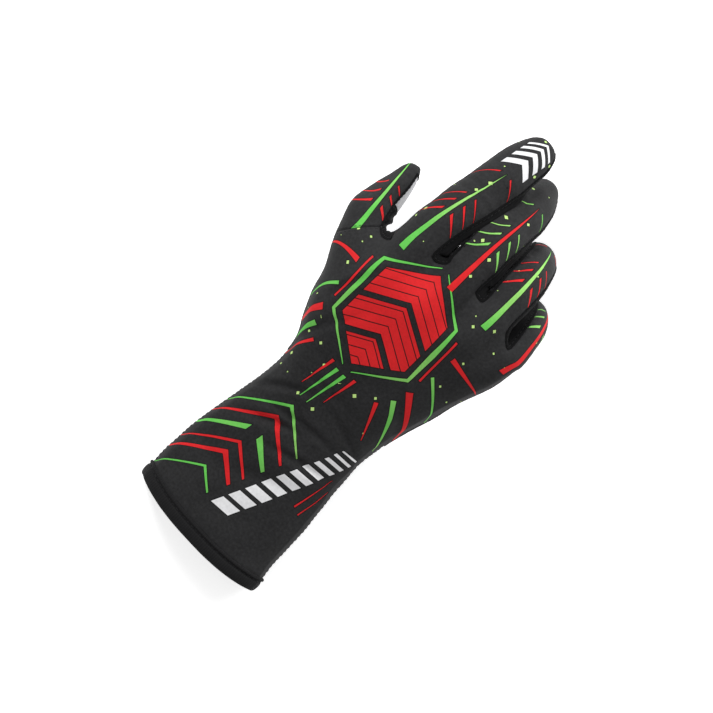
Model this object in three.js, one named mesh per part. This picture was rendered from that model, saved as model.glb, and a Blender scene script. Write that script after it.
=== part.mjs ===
// A right-hand racing glove, lying palm down on a table with its fingers curled so that the tips touch it.
// Millimetres. X runs across the hand towards the little finger, Y from the cuff to the fingertips, Z up.
// The glove is one skin of four-sided patches: rings of points along the cuff, palm, fingers and thumb.
// The skin is smoothed, cut along its seams into cloth panels, and each panel gets its own thickness.
import * as THREE from "three";

// Cloth and seams
const clothThickness = 1.4;
const palmThickness = 1.5;
const seamGap = 0.36;

// The binding folded over the hem of the cuff
const bindingWidth = 7.2;
const bindingThickness = 3.4;

// A finger ring has twelve points: five on the back panel, one on the side towards the little finger,
// five on the palm panel and one on the side towards the thumb.
const pointsPerPanel = 5;
// Points on a thumb ring start over the wrist, on top, and are evenly spaced.
const thumbRingPoints = 12;
const thumbFirstAngle = -45;

// The hand from the hem to the knuckles, a row for each section.
// left, right: sides; top, bottom, side: heights of the crown, the underside and the widest point;
// boxy: power of the upper curve, flat: of the lower; bow: how far the middle lies towards the hem;
// skew: how far the little finger's side lies towards the hem; thenar: how far the ball of the thumb hangs down;
// hollow: how far the palm draws in; lean: rise across the hand; knuckle: share taken from the finger rings.
const handSections = [
  { y: 3.2, left: -43.1, right: 44.7, top: 30, bottom: 0, side: 11, boxy: 2.2, flat: 4, bow: -6.4, skew: -1.6, thenar: 0, hollow: 0, lean: 0, knuckle: 0 },
  { y: 11, left: -43.1, right: 43.7, top: 31, bottom: 0, side: 12, boxy: 2.2, flat: 4, bow: -5, skew: -1.2, thenar: 0, hollow: 0, lean: 0, knuckle: 0 },
  { y: 24, left: -43.1, right: 42.9, top: 32.4, bottom: 0, side: 13, boxy: 2.2, flat: 4, bow: -3, skew: -0.6, thenar: 0, hollow: 0, lean: 0, knuckle: 0 },
  { y: 38, left: -41.7, right: 42.3, top: 34, bottom: 0, side: 14, boxy: 2.2, flat: 3.8, bow: -1, skew: 0, thenar: 0, hollow: 0, lean: 0, knuckle: 0 },
  { y: 50, left: -40.1, right: 40.7, top: 36.2, bottom: 0, side: 15.5, boxy: 2.2, flat: 3.4, bow: 0, skew: 0, thenar: 0, hollow: 0, lean: 0, knuckle: 0 },
  { y: 60, left: -37.7, right: 39.1, top: 38.2, bottom: 0, side: 17, boxy: 2.2, flat: 3, bow: 0, skew: 0, thenar: 0, hollow: 0, lean: 0, knuckle: 0 },
  { y: 69, left: -36.1, right: 38.5, top: 40.0, bottom: 0.3, side: 18.8, boxy: 2.2, flat: 2.8, bow: 0, skew: 0, thenar: 0, hollow: 0, lean: 0, knuckle: 0 },
  { y: 78, left: -34.7, right: 38.3, top: 42.4, bottom: 1.6, side: 21.2, boxy: 2.3, flat: 2.6, bow: 0, skew: 0, thenar: 0, hollow: 0, lean: 0, knuckle: 0 },
  { y: 87, left: -33.5, right: 38.1, top: 44.8, bottom: 3.2, side: 23.6, boxy: 2.3, flat: 2.6, bow: 0, skew: 0, thenar: 0, hollow: 0.3, lean: 0, knuckle: 0 },
  { y: 98, left: -33.3, right: 39.5, top: 48.8, bottom: 5.4, side: 26.5, boxy: 2.4, flat: 2.5, bow: 0, skew: 0, thenar: 0, hollow: 0.8, lean: -0.01, knuckle: 0 },
  { y: 113, left: -37.3, right: 44.3, top: 54.5, bottom: 8.8, side: 31, boxy: 2.5, flat: 2.5, bow: 0, skew: 0, thenar: 1, hollow: 2, lean: -0.02, knuckle: 0 },
  { y: 127, left: -46.9, right: 48.1, top: 60, bottom: 14, side: 36, boxy: 2.6, flat: 2.5, bow: 0, skew: 0, thenar: 4.5, hollow: 3.5, lean: -0.04, knuckle: 0 },
  { y: 141, left: -53.0, right: 52.1, top: 65, bottom: 20, side: 42, boxy: 2.6, flat: 2.6, bow: 0, skew: 0, thenar: 9, hollow: 4, lean: -0.05, knuckle: 0 },
  { y: 154, left: -47.0, right: 56.1, top: 69, bottom: 27, side: 48, boxy: 2.6, flat: 2.6, bow: 0, skew: 0, thenar: 12, hollow: 3.5, lean: -0.06, knuckle: 0.1 },
  { y: 166, left: -42.0, right: 59.5, top: 71.5, bottom: 34, side: 52, boxy: 2.6, flat: 2.6, bow: 0, skew: 0, thenar: 10, hollow: 2, lean: -0.07, knuckle: 0.35 },
  { y: 177, left: -40.0, right: 60.9, top: 71.5, bottom: 40, side: 55, boxy: 2.6, flat: 2.6, bow: 0, skew: 0, thenar: 4, hollow: 0, lean: -0.07, knuckle: 0.75 },
];

// Dents and swells of the worn cloth on the back (side 1) and the underside (side -1), each a soft mound
// at x, y with its reach both ways and its depth inwards.
const dents = [
  { side: 1, x: -4, y: 80, reachX: 24, reachY: 6, depth: 1.7 },
  { side: 1, x: 14, y: 66, reachX: 18, reachY: 6, depth: 1.1 },
  { side: 1, x: -10, y: 97, reachX: 22, reachY: 7, depth: -0.9 },
  { side: 1, x: 8, y: 34, reachX: 26, reachY: 14, depth: 1.0 },
  { side: 1, x: -22, y: 138, reachX: 10, reachY: 16, depth: 1.2 },
  { side: -1, x: 6, y: 92, reachX: 24, reachY: 7, depth: 1.4 },
  { side: -1, x: -8, y: 134, reachX: 9, reachY: 20, depth: 2.2 },
];

// Each finger from its web to its tip. base: centre of its first ring;
// backFrom, backTo, palmFrom, palmTo: angles of the seams round the ring, from the back towards the little finger;
// backToTip: where backTo has moved to at the tip;
// along: length of cloth from the web; pitch: how far it points down; yaw: how far it leans towards the little finger;
// roll: how far its back turns towards the little finger; wide, high: half the width and height of the ring.
const fingers = [
  {
    name: "index", base: [-23.9, 187, 56.5], backFrom: -72, backTo: 60, backToTip: 84, palmFrom: 104, palmTo: 256,
    rings: [
      { along: 0, pitch: 2, yaw: 8, roll: -18, wide: 14.3, high: 12.0 },
      { along: 11, pitch: 5, yaw: 8, roll: -18, wide: 14.3, high: 11.5 },
      { along: 22, pitch: 9, yaw: 8, roll: -18, wide: 14.1, high: 11.5 },
      { along: 33, pitch: 14, yaw: 8, roll: -16, wide: 13.7, high: 11.3 },
      { along: 44, pitch: 18, yaw: 8, roll: -13, wide: 13.4, high: 10.9 },
      { along: 54.5, pitch: 22, yaw: 8, roll: -10, wide: 13.2, high: 10.7 },
      { along: 64.5, pitch: 25, yaw: 8, roll: -7, wide: 12.8, high: 10.3 },
      { along: 74, pitch: 28, yaw: 7, roll: -5, wide: 12.2, high: 9.8 },
      { along: 82, pitch: 31, yaw: 6, roll: -4, wide: 11.1, high: 8.9 },
      { along: 88.5, pitch: 34, yaw: 5, roll: -4, wide: 9.0, high: 7.2 },
      { along: 92, pitch: 36, yaw: 5, roll: -4, wide: 5.6, high: 4.4 },
    ],
  },
  {
    name: "middle", base: [5.8, 189, 59.5], backFrom: -58, backTo: 60, backToTip: 82, palmFrom: 104, palmTo: 256,
    rings: [
      { along: 0, pitch: 6, yaw: 1.5, roll: -4, wide: 12.6, high: 12.0 },
      { along: 11, pitch: 10, yaw: 1.5, roll: -4, wide: 12.7, high: 11.5 },
      { along: 22, pitch: 21, yaw: 2, roll: -4, wide: 12.4, high: 11.6 },
      { along: 32.5, pitch: 33, yaw: 1.5, roll: -3, wide: 12.1, high: 11.4 },
      { along: 44, pitch: 41, yaw: 0, roll: -3, wide: 11.9, high: 11.0 },
      { along: 55, pitch: 48, yaw: -2, roll: -2, wide: 11.8, high: 10.8 },
      { along: 66, pitch: 55, yaw: -4, roll: -2, wide: 11.5, high: 10.4 },
      { along: 76, pitch: 61, yaw: -5, roll: -2, wide: 10.9, high: 9.8 },
      { along: 84.5, pitch: 65, yaw: -6, roll: -2, wide: 9.9, high: 8.9 },
      { along: 91, pitch: 68, yaw: -6, roll: -2, wide: 8.1, high: 7.2 },
      { along: 95, pitch: 70, yaw: -6, roll: -2, wide: 5.2, high: 4.2 },
    ],
  },
  {
    name: "ring", base: [31.1, 187, 57], backFrom: -58, backTo: 58, backToTip: 58, palmFrom: 104, palmTo: 256,
    rings: [
      { along: 0, pitch: 8, yaw: 0, roll: 8, wide: 11.8, high: 11.4 },
      { along: 9, pitch: 13, yaw: 0, roll: 8, wide: 12.0, high: 11.0 },
      { along: 18, pitch: 26, yaw: -1, roll: 8, wide: 12.0, high: 11.1 },
      { along: 27, pitch: 43, yaw: -2, roll: 7, wide: 12.0, high: 11.0 },
      { along: 36, pitch: 55, yaw: -4, roll: 6, wide: 11.6, high: 10.4 },
      { along: 45, pitch: 64, yaw: -6, roll: 5, wide: 11.3, high: 10.1 },
      { along: 54, pitch: 75, yaw: -8, roll: 4, wide: 10.9, high: 9.8 },
      { along: 62, pitch: 84, yaw: -8, roll: 4, wide: 10.3, high: 9.3 },
      { along: 70, pitch: 90, yaw: -8, roll: 4, wide: 9.2, high: 8.4 },
      { along: 75.5, pitch: 94, yaw: -8, roll: 4, wide: 7.4, high: 6.8 },
      { along: 78.5, pitch: 96, yaw: -8, roll: 4, wide: 4.8, high: 4.0 },
    ],
  },
  {
    name: "little", base: [52.2, 177, 50], backFrom: -44, backTo: 70, backToTip: 70, palmFrom: 104, palmTo: 256,
    rings: [
      { along: 0, pitch: 12, yaw: -4, roll: 28, wide: 9.3, high: 10.2 },
      { along: 8, pitch: 22, yaw: -6, roll: 28, wide: 9.8, high: 9.9 },
      { along: 16, pitch: 38, yaw: -8, roll: 27, wide: 9.8, high: 9.9 },
      { along: 23, pitch: 54, yaw: -10, roll: 25, wide: 9.8, high: 9.8 },
      { along: 30, pitch: 66, yaw: -11, roll: 22, wide: 9.6, high: 9.3 },
      { along: 37, pitch: 75, yaw: -12, roll: 20, wide: 9.3, high: 9.0 },
      { along: 44, pitch: 83, yaw: -12, roll: 18, wide: 9.0, high: 8.7 },
      { along: 50, pitch: 89, yaw: -12, roll: 18, wide: 8.6, high: 8.3 },
      { along: 56, pitch: 93, yaw: -12, roll: 18, wide: 7.8, high: 7.5 },
      { along: 60.5, pitch: 96, yaw: -12, roll: 18, wide: 6.3, high: 6.0 },
      { along: 63, pitch: 98, yaw: -12, roll: 18, wide: 4.1, high: 3.6 },
    ],
  },
];

// The seam moves to its place at the tip between these lengths along a finger, so that the side strip narrows.
const stripNarrowsFrom = 15;
const stripNarrowsTo = 60;

// The thumb leaves a gap three sections long in the side of the hand. Its rings have their centres stated,
// and share says how far a ring is drawn back towards the edge of the gap.
const thumbFirstSection = 12;
const thumbGapSections = 3;
const thumbRings = [
  { x: -49.0, y: 163.4, z: 41, pitch: 12, yaw: -62, roll: 0, wide: 16.6, high: 14.6, share: 0.4 },
  { x: -50.8, y: 169.6, z: 37.0, pitch: 22, yaw: -50, roll: -1, wide: 14.8, high: 13.4, share: 0.1 },
  { x: -53.0, y: 177.8, z: 31.6, pitch: 30, yaw: -34, roll: -3, wide: 13.4, high: 12.2, share: 0 },
  { x: -54.9, y: 186.2, z: 26.2, pitch: 31, yaw: -18, roll: -5, wide: 12.6, high: 11.4, share: 0 },
  { x: -54.5, y: 196, z: 20.4, pitch: 29, yaw: -9, roll: -6, wide: 10.6, high: 10.2, share: 0 },
  { x: -53.9, y: 204.6, z: 16, pitch: 25, yaw: -5, roll: -6, wide: 8.7, high: 8.8, share: 0 },
  { x: -53.9, y: 211.8, z: 13, pitch: 22, yaw: -3, roll: -5, wide: 6.2, high: 6.4, share: 0 },
  { x: -54, y: 216, z: 11.4, pitch: 20, yaw: -3, roll: -4, wide: 3.4, high: 3.6, share: 0 },
];

// Where the panels meet
const palmStartsAtSection = 9;
const thumbSeamRing = 2;
const gussetLastRing = 4;
const thumbTipRing = 7; // from here the thumb's back wraps round its tip
const thumbBackFirstPoint = 10;
const thumbBackLastPoint = 3;
const gussetPoints = 2;

const radians = THREE.MathUtils.degToRad;
const fingerPoints = 2 * (pointsPerPanel + 1);
const backLast = pointsPerPanel - 1;
const farSide = pointsPerPanel;
const palmFirst = farSide + 1;
const palmLast = palmFirst + backLast;
const nearSide = palmLast + 1;
const lastFinger = fingers.length - 1;
const topPoints = fingers.length * pointsPerPanel;
const rightSide = topPoints;
const leftSide = 2 * topPoints + 1;
const sectionPoints = leftSide + 1;

const points = [];
const patches = [];

function addPoint(point) {
  points.push(point);
  return points.length - 1;
}

function addPatch(panel, ...corners) {
  patches.push({ panel, corners });
}

// Directions of a ring that points down by pitch, leans sideways by yaw and is rolled about its own axis.
function ringFrame(pitch, yaw, roll) {
  const p = radians(pitch);
  const w = radians(yaw);
  const r = radians(roll);
  const ahead = new THREE.Vector3(Math.sin(w), Math.cos(w) * Math.cos(p), -Math.cos(w) * Math.sin(p));
  const level = new THREE.Vector3(Math.cos(w), -Math.sin(w) * Math.cos(p), Math.sin(w) * Math.sin(p));
  const upright = new THREE.Vector3().crossVectors(level, ahead);
  const up = upright.clone().multiplyScalar(Math.cos(r)).addScaledVector(level, Math.sin(r));
  const right = level.clone().multiplyScalar(Math.cos(r)).addScaledVector(upright, -Math.sin(r));
  return { ahead, up, right };
}

function ringPoint(centre, frame, wide, high, angle) {
  const a = radians(angle);
  return centre
    .clone()
    .addScaledVector(frame.right, wide * Math.sin(a))
    .addScaledVector(frame.up, high * Math.cos(a));
}

// The rings of a finger, stepping along its length with the mean direction of each pair of rows.
function fingerRings(finger) {
  const { backFrom, backTo, backToTip, palmFrom, palmTo } = finger;
  const spread = (from, to) => Array.from({ length: pointsPerPanel }, (_, i) => from + ((to - from) * i) / backLast);
  const near = (palmTo + backFrom + 360) / 2;
  const anglesAt = (along) => {
    const moved = THREE.MathUtils.smoothstep(along, stripNarrowsFrom, stripNarrowsTo);
    const seam = THREE.MathUtils.lerp(backTo, backToTip, moved);
    return [...spread(backFrom, seam), (seam + palmFrom) / 2, ...spread(palmFrom, palmTo), near];
  };
  const centre = new THREE.Vector3(...finger.base);
  return finger.rings.map((row, i) => {
    if (i > 0) {
      const before = finger.rings[i - 1];
      const step = ringFrame((before.pitch + row.pitch) / 2, (before.yaw + row.yaw) / 2, 0);
      centre.addScaledVector(step.ahead, row.along - before.along);
    }
    const frame = ringFrame(row.pitch, row.yaw, row.roll);
    return anglesAt(row.along).map((angle) => ringPoint(centre, frame, row.wide, row.high, angle));
  });
}

// A finger ring's point as a place in a hand section, or nothing for a side that faces another finger.
function inSection(finger, k) {
  if (k <= backLast) return finger * pointsPerPanel + k;
  if (k === farSide) return finger === lastFinger ? rightSide : undefined;
  if (k <= palmLast) return rightSide + 1 + (lastFinger - finger) * pointsPerPanel + k - palmFirst;
  return finger === 0 ? leftSide : undefined;
}

const ringsOfFingers = fingers.map(fingerRings);
const webSection = new Array(sectionPoints);
ringsOfFingers.forEach((rings, f) =>
  rings[0].forEach((point, k) => {
    const place = inSection(f, k);
    if (place !== undefined) webSection[place] = point;
  }),
);

// How far across the hand each of the 20 columns lies, from -1 to 1, taken from the finger rings.
const columnReach = 0.93;
const knuckleRise = 0.06;
const columns = webSection.slice(0, topPoints).map((point) => {
  const first = webSection[0].x;
  const last = webSection[topPoints - 1].x;
  return columnReach * (2 * (point.x - first) / (last - first) - 1);
});

// A point of a hand section on its smooth outline. The thenar hang and the bow fade across by these powers.
const thenarPower = 1.6;
const bowPower = 2.6;
function sectionPoint(row, place) {
  const onTop = place <= rightSide;
  const across = place === rightSide ? 1 : place === leftSide ? -1 : columns[onTop ? place : 2 * topPoints - place];
  const middle = (row.left + row.right) / 2;
  const x = middle + (across * (row.right - row.left)) / 2;
  const power = onTop ? row.boxy : row.flat;
  const swell = (1 - Math.abs(across) ** power) ** (1 / power);
  const height = onTop
    ? row.side + (row.top - row.side) * swell
    : row.side - (row.side - row.bottom) * swell + row.hollow * Math.cos(across * Math.PI * 0.5) ** 2;
  const hang = onTop ? 0 : row.thenar * Math.max(0, -across) ** thenarPower;
  const y = row.y + row.bow * (1 - Math.abs(across) ** bowPower) + row.skew * across;
  let pressed = 0;
  for (const dent of dents)
    if (dent.side === (onTop ? 1 : -1))
      pressed += dent.depth * Math.exp(-(((x - dent.x) / dent.reachX) ** 2) - ((y - dent.y) / dent.reachY) ** 2);
  const inwards = Math.abs(across) < 1 ? (onTop ? -pressed : pressed) : 0;
  return new THREE.Vector3(x, y, height - hang + inwards + row.lean * (x - middle));
}

// The hand: its sections, then the ring of finger bases, joined by patches.
const handRows = handSections.map((row) => {
  const made = [];
  for (let place = 0; place < sectionPoints; place++) {
    const point = sectionPoint(row, place);
    if (row.knuckle > 0) {
      const web = webSection[place].clone();
      const back = web.y - point.y;
      web.y = point.y;
      web.z += back * knuckleRise;
      point.lerp(web, row.knuckle);
    }
    made.push(addPoint(point));
  }
  return made;
});
handRows.push(webSection.map(addPoint));

const thumbColumns = [0, leftSide, leftSide - 1];
function handPanel(section, place) {
  const below = place >= rightSide && place < leftSide;
  if (!below) return "back_panel";
  return section < palmStartsAtSection ? "cuff_underside" : "palm_panel";
}
for (let j = 0; j + 1 < handRows.length; j++) {
  const besideThumb = j >= thumbFirstSection && j < thumbFirstSection + thumbGapSections;
  for (let place = 0; place < sectionPoints; place++) {
    if (besideThumb && thumbColumns.includes(place)) continue;
    const next = (place + 1) % sectionPoints;
    addPatch(handPanel(j, place), handRows[j][place], handRows[j][next], handRows[j + 1][next], handRows[j + 1][place]);
  }
}

// The side strips between fingers run down one finger, through the web and up the next.
const stripName = (f) => `side_strip_${fingers[f].name}_${fingers[f + 1].name}`;
function fingerPanel(f, k) {
  if (k < backLast) return "back_panel";
  if (k < palmFirst && f < lastFinger) return stripName(f);
  if (k < farSide) return "back_panel";
  if (k < palmLast) return "palm_panel";
  if (f > 0) return stripName(f - 1);
  return k < nearSide ? "palm_panel" : "back_panel";
}
const webRow = handRows[handRows.length - 1];
const webRings = ringsOfFingers.map((rings, f) =>
  rings[0].map((point, k) => webRow[inSection(f, k)] ?? addPoint(point)),
);
ringsOfFingers.forEach((rings, f) => {
  let before = webRings[f];
  for (const ring of rings.slice(1)) {
    const here = ring.map(addPoint);
    for (let k = 0; k < fingerPoints; k++) {
      const next = (k + 1) % fingerPoints;
      addPatch(fingerPanel(f, k), before[k], before[next], here[next], here[k]);
    }
    before = here;
  }
  // The tip: rows of patches from the back's edge to the palm's.
  const top = before.slice(0, farSide);
  const bottom = before.slice(palmFirst, nearSide).reverse();
  const near = before[nearSide];
  const far = before[farSide];
  const middle = [near, ...top.slice(1, -1).map((i, k) => addPoint(points[i].clone().lerp(points[bottom[k + 1]], 0.5))), far];
  for (let k = 0; k < backLast; k++) {
    addPatch("back_panel", top[k], top[k + 1], middle[k + 1], middle[k]);
    addPatch("back_panel", middle[k], middle[k + 1], bottom[k + 1], bottom[k]);
  }
});
for (let f = 0; f < lastFinger; f++) {
  const one = webRings[f];
  const two = webRings[f + 1];
  addPatch(stripName(f), one[backLast], two[0], two[nearSide], one[farSide]);
  addPatch(stripName(f), one[farSide], two[nearSide], two[palmLast], one[palmFirst]);
}

// The thumb: from the edge of the gap in the hand out to its tip.
function thumbPanel(ring, k) {
  const onBack = k >= thumbBackFirstPoint || k < thumbBackLastPoint;
  if (ring === thumbTipRing) return "thumb_back";
  if (onBack) return ring < thumbSeamRing ? "back_panel" : "thumb_back";
  if (k < thumbBackLastPoint + gussetPoints && ring < gussetLastRing) return "thumb_gusset";
  return ring < thumbSeamRing ? "palm_panel" : "thumb_palm";
}
const gapEdge = [];
const gapLast = thumbFirstSection + thumbGapSections;
for (let j = thumbFirstSection; j <= gapLast; j++) gapEdge.push(handRows[j][1]);
gapEdge.push(handRows[gapLast][0], handRows[gapLast][leftSide]);
for (let j = gapLast; j >= thumbFirstSection; j--) gapEdge.push(handRows[j][leftSide - 1]);
gapEdge.push(handRows[thumbFirstSection][leftSide], handRows[thumbFirstSection][0]);
const thumbRoot = [...gapEdge, webRow[0], webRow[leftSide], webRow[leftSide - 1]];
let thumbBefore = gapEdge;
thumbRings.forEach((row, r) => {
  const frame = ringFrame(row.pitch, row.yaw, row.roll);
  const centre = new THREE.Vector3(row.x, row.y, row.z);
  const here = [];
  for (let k = 0; k < thumbRingPoints; k++) {
    const angle = thumbFirstAngle + (360 / thumbRingPoints) * k;
    const point = ringPoint(centre, frame, row.wide, row.high, angle);
    here.push(addPoint(point.lerp(points[gapEdge[k]], row.share)));
  }
  for (let k = 0; k < thumbRingPoints; k++) {
    const next = (k + 1) % thumbRingPoints;
    addPatch(thumbPanel(r, k), thumbBefore[k], thumbBefore[next], here[next], here[k]);
  }
  if (r < thumbSeamRing) thumbRoot.push(...here);
  thumbBefore = here;
});
for (let k = 0; k < thumbRingPoints / 2 - 1; k++) {
  const above = (thumbBackFirstPoint + k) % thumbRingPoints;
  const below = (thumbBackFirstPoint - 1 - k + thumbRingPoints) % thumbRingPoints;
  const nextAbove = (above + 1) % thumbRingPoints;
  addPatch("thumb_back", thumbBefore[above], thumbBefore[nextAbove], thumbBefore[below - 1], thumbBefore[below]);
}

// Each point moves to where a smooth surface through the patches would lie.
const neighbours = points.map(() => ({ beside: new Set(), across: [], open: new Set() }));
const edgeUse = new Map();
const edgeKey = (a, b) => (a < b ? `${a} ${b}` : `${b} ${a}`);
for (const { corners } of patches)
  corners.forEach((a, i) => {
    const b = corners[(i + 1) % 4];
    neighbours[a].beside.add(b);
    neighbours[b].beside.add(a);
    neighbours[a].across.push(corners[(i + 2) % 4]);
    edgeUse.set(edgeKey(a, b), (edgeUse.get(edgeKey(a, b)) || 0) + 1);
  });
for (const [key, uses] of edgeUse)
  if (uses === 1) {
    const [a, b] = key.split(" ").map(Number);
    neighbours[a].open.add(b);
    neighbours[b].open.add(a);
  }

// The root of the thumb is evened out, each point moving towards the mean of its neighbours.
const rootPasses = 8;
const rootShare = 0.5;
for (let pass = 0; pass < rootPasses; pass++) {
  const moved = thumbRoot.map((i) => {
    const beside = [...neighbours[i].beside];
    const mean = beside.reduce((sum, k) => sum.add(points[k]), new THREE.Vector3()).divideScalar(beside.length);
    return points[i].clone().lerp(mean, rootShare);
  });
  thumbRoot.forEach((i, k) => points[i].copy(moved[k]));
}

const sumOf = (list) => list.reduce((sum, i) => sum.add(points[i]), new THREE.Vector3());
const smooth = points.map((point, i) => {
  const { beside, across, open } = neighbours[i];
  if (open.size) return sumOf([...open]).addScaledVector(point, 4).divideScalar(open.size + 4);
  const n = beside.size;
  return sumOf([...beside])
    .multiplyScalar(4)
    .add(sumOf(across))
    .addScaledVector(point, n * n)
    .divideScalar(n * (n + 5));
});
// Cloth is pressed flat where it rests on the table.
const pressedFlat = 0.6;
for (const point of smooth) point.z = Math.max(point.z - pressedFlat, 0);

// Outward direction at each point.
const outward = smooth.map(() => new THREE.Vector3());
for (const { corners } of patches) {
  const [a, b, c, d] = corners.map((i) => smooth[i]);
  const across = new THREE.Vector3().subVectors(c, a);
  const normal = across.cross(new THREE.Vector3().subVectors(d, b));
  corners.forEach((i) => outward[i].add(normal));
}
outward.forEach((normal) => normal.normalize());

// One panel as a closed solid: its outer patches, the same patches one thickness in, and its edges.
const leastCornerPull = 0.3;
function panelGeometry(panel, thickness) {
  const own = patches.filter((patch) => patch.panel === panel);
  const uses = new Map();
  for (const { corners } of own)
    corners.forEach((a, i) => {
      const key = edgeKey(a, corners[(i + 1) % 4]);
      uses.set(key, (uses.get(key) || 0) + 1);
    });
  // A seam's points draw back half the gap. Both sides of a seam split its wall along the same diagonal.
  const inwards = new Map();
  for (const { corners } of own)
    corners.forEach((a, i) => {
      const b = corners[(i + 1) % 4];
      if (uses.get(edgeKey(a, b)) !== 1 || edgeUse.get(edgeKey(a, b)) === 1) return;
      const along = new THREE.Vector3().subVectors(smooth[b], smooth[a]).normalize();
      for (const end of [a, b]) {
        const away = new THREE.Vector3().crossVectors(outward[end], along).normalize();
        if (!inwards.has(end)) inwards.set(end, []);
        inwards.get(end).push(away);
      }
    });
  const outer = new Map();
  const inner = new Map();
  const vertices = [];
  const place = (point) => vertices.push(point) - 1;
  for (const { corners } of own)
    for (const i of corners) {
      if (outer.has(i)) continue;
      const shift = new THREE.Vector3();
      const pulls = inwards.get(i) || [];
      pulls.forEach((pull) => shift.add(pull));
      if (pulls.length) {
        shift.normalize();
        const least = Math.min(...pulls.map((pull) => shift.dot(pull)));
        shift.multiplyScalar(seamGap / 2 / Math.max(leastCornerPull, least));
      }
      const skin = smooth[i].clone().add(shift);
      skin.z = Math.max(skin.z, 0);
      outer.set(i, place(skin));
      inner.set(i, place(skin.clone().addScaledVector(outward[i], -thickness)));
    }
  const triangles = [];
  const quad = (a, b, c, d) => triangles.push(a, b, c, a, c, d);
  for (const { corners } of own) {
    const [a, b, c, d] = corners;
    quad(...[a, b, c, d].map((i) => outer.get(i)));
    quad(...[a, d, c, b].map((i) => inner.get(i)));
    corners.forEach((from, i) => {
      const to = corners[(i + 1) % 4];
      if (uses.get(edgeKey(from, to)) !== 1) return;
      const wall = [outer.get(to), outer.get(from), inner.get(from), inner.get(to)];
      if (from < to) wall.push(wall.shift());
      quad(...wall);
    });
  }
  const geometry = new THREE.BufferGeometry().setFromPoints(vertices);
  geometry.setIndex(triangles);
  geometry.computeVertexNormals();
  return geometry;
}

// The binding: a rounded band that follows the hem, just beyond the panels' edge.
const profileTurns = 8;
const profilePower = 0.6;
function bindingGeometry() {
  const hem = handRows[0];
  const vertices = [];
  hem.forEach((i) => {
    const edge = smooth[i].clone().addScaledVector(outward[i], -clothThickness / 2);
    for (let k = 0; k < profileTurns; k++) {
      const turn = (2 * Math.PI * (k + 0.5)) / profileTurns;
      const reach = (value) => Math.sign(value) * Math.abs(value) ** profilePower;
      const point = edge.clone().addScaledVector(outward[i], (bindingThickness / 2) * reach(Math.cos(turn)));
      point.y -= seamGap + (bindingWidth / 2) * (1 + reach(Math.sin(turn)));
      point.z = Math.max(point.z, 0);
      vertices.push(point);
    }
  });
  const triangles = [];
  for (let i = 0; i < hem.length; i++)
    for (let k = 0; k < profileTurns; k++) {
      const nextI = (i + 1) % hem.length;
      const nextK = (k + 1) % profileTurns;
      const a = i * profileTurns + k;
      const b = nextI * profileTurns + k;
      const c = nextI * profileTurns + nextK;
      const d = i * profileTurns + nextK;
      triangles.push(a, c, b, a, d, c);
    }
  const geometry = new THREE.BufferGeometry().setFromPoints(vertices);
  geometry.setIndex(triangles);
  geometry.computeVertexNormals();
  return geometry;
}

const printedCloth = new THREE.MeshStandardMaterial({ color: 0x2b2b2c, roughness: 0.8, metalness: 0 });
const plainCloth = new THREE.MeshStandardMaterial({ color: 0x141414, roughness: 0.9, metalness: 0 });
const suede = new THREE.MeshStandardMaterial({ color: 0xc9c9cb, roughness: 0.95, metalness: 0 });
const elastic = new THREE.MeshStandardMaterial({ color: 0x0d0d0d, roughness: 0.95, metalness: 0 });

const glove = new THREE.Group();
function addPiece(name, geometry, material) {
  const mesh = new THREE.Mesh(geometry, material);
  mesh.name = name;
  glove.add(mesh);
}
addPiece("back_panel", panelGeometry("back_panel", clothThickness), printedCloth);
addPiece("cuff_underside", panelGeometry("cuff_underside", clothThickness), printedCloth);
addPiece("palm_panel", panelGeometry("palm_panel", palmThickness), suede);
addPiece("thumb_back", panelGeometry("thumb_back", clothThickness), printedCloth);
addPiece("thumb_palm", panelGeometry("thumb_palm", palmThickness), suede);
addPiece("thumb_gusset", panelGeometry("thumb_gusset", clothThickness), plainCloth);
for (let f = 0; f < lastFinger; f++)
  addPiece(stripName(f), panelGeometry(stripName(f), clothThickness), plainCloth);
addPiece("cuff_binding", bindingGeometry(), elastic);

// The frame's origin is the middle of the glove's footprint on the table.
const box = new THREE.Box3().setFromObject(glove);
glove.position.set(-(box.min.x + box.max.x) / 2, -(box.min.y + box.max.y) / 2, -box.min.z);

export default glove;
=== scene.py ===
# A right-hand racing glove, lying palm down on a table with its fingers curled so that the tips touch it.
# Lengths are millimetres from the middle of the hem, until a mesh is written in metres.
# X runs across the hand towards the little finger, Y from the cuff to the fingertips, Z up.
import math
from functools import partialmethod, reduce

import bpy
import numpy as np
from mathutils.bvhtree import BVHTree
from mathutils.kdtree import KDTree
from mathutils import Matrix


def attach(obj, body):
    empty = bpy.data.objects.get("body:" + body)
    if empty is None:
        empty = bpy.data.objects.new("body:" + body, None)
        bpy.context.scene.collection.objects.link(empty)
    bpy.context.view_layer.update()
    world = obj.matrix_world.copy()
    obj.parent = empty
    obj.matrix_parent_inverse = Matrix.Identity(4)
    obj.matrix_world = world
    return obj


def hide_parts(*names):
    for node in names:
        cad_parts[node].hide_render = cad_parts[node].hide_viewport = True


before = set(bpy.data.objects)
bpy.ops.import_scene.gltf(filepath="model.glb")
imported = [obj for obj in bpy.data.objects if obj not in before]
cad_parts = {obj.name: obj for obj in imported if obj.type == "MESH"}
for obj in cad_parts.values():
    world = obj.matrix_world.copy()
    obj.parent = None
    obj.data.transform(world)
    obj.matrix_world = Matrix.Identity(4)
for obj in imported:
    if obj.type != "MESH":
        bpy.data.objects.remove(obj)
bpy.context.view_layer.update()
print("frame loaded")

# The skin's cage

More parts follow.
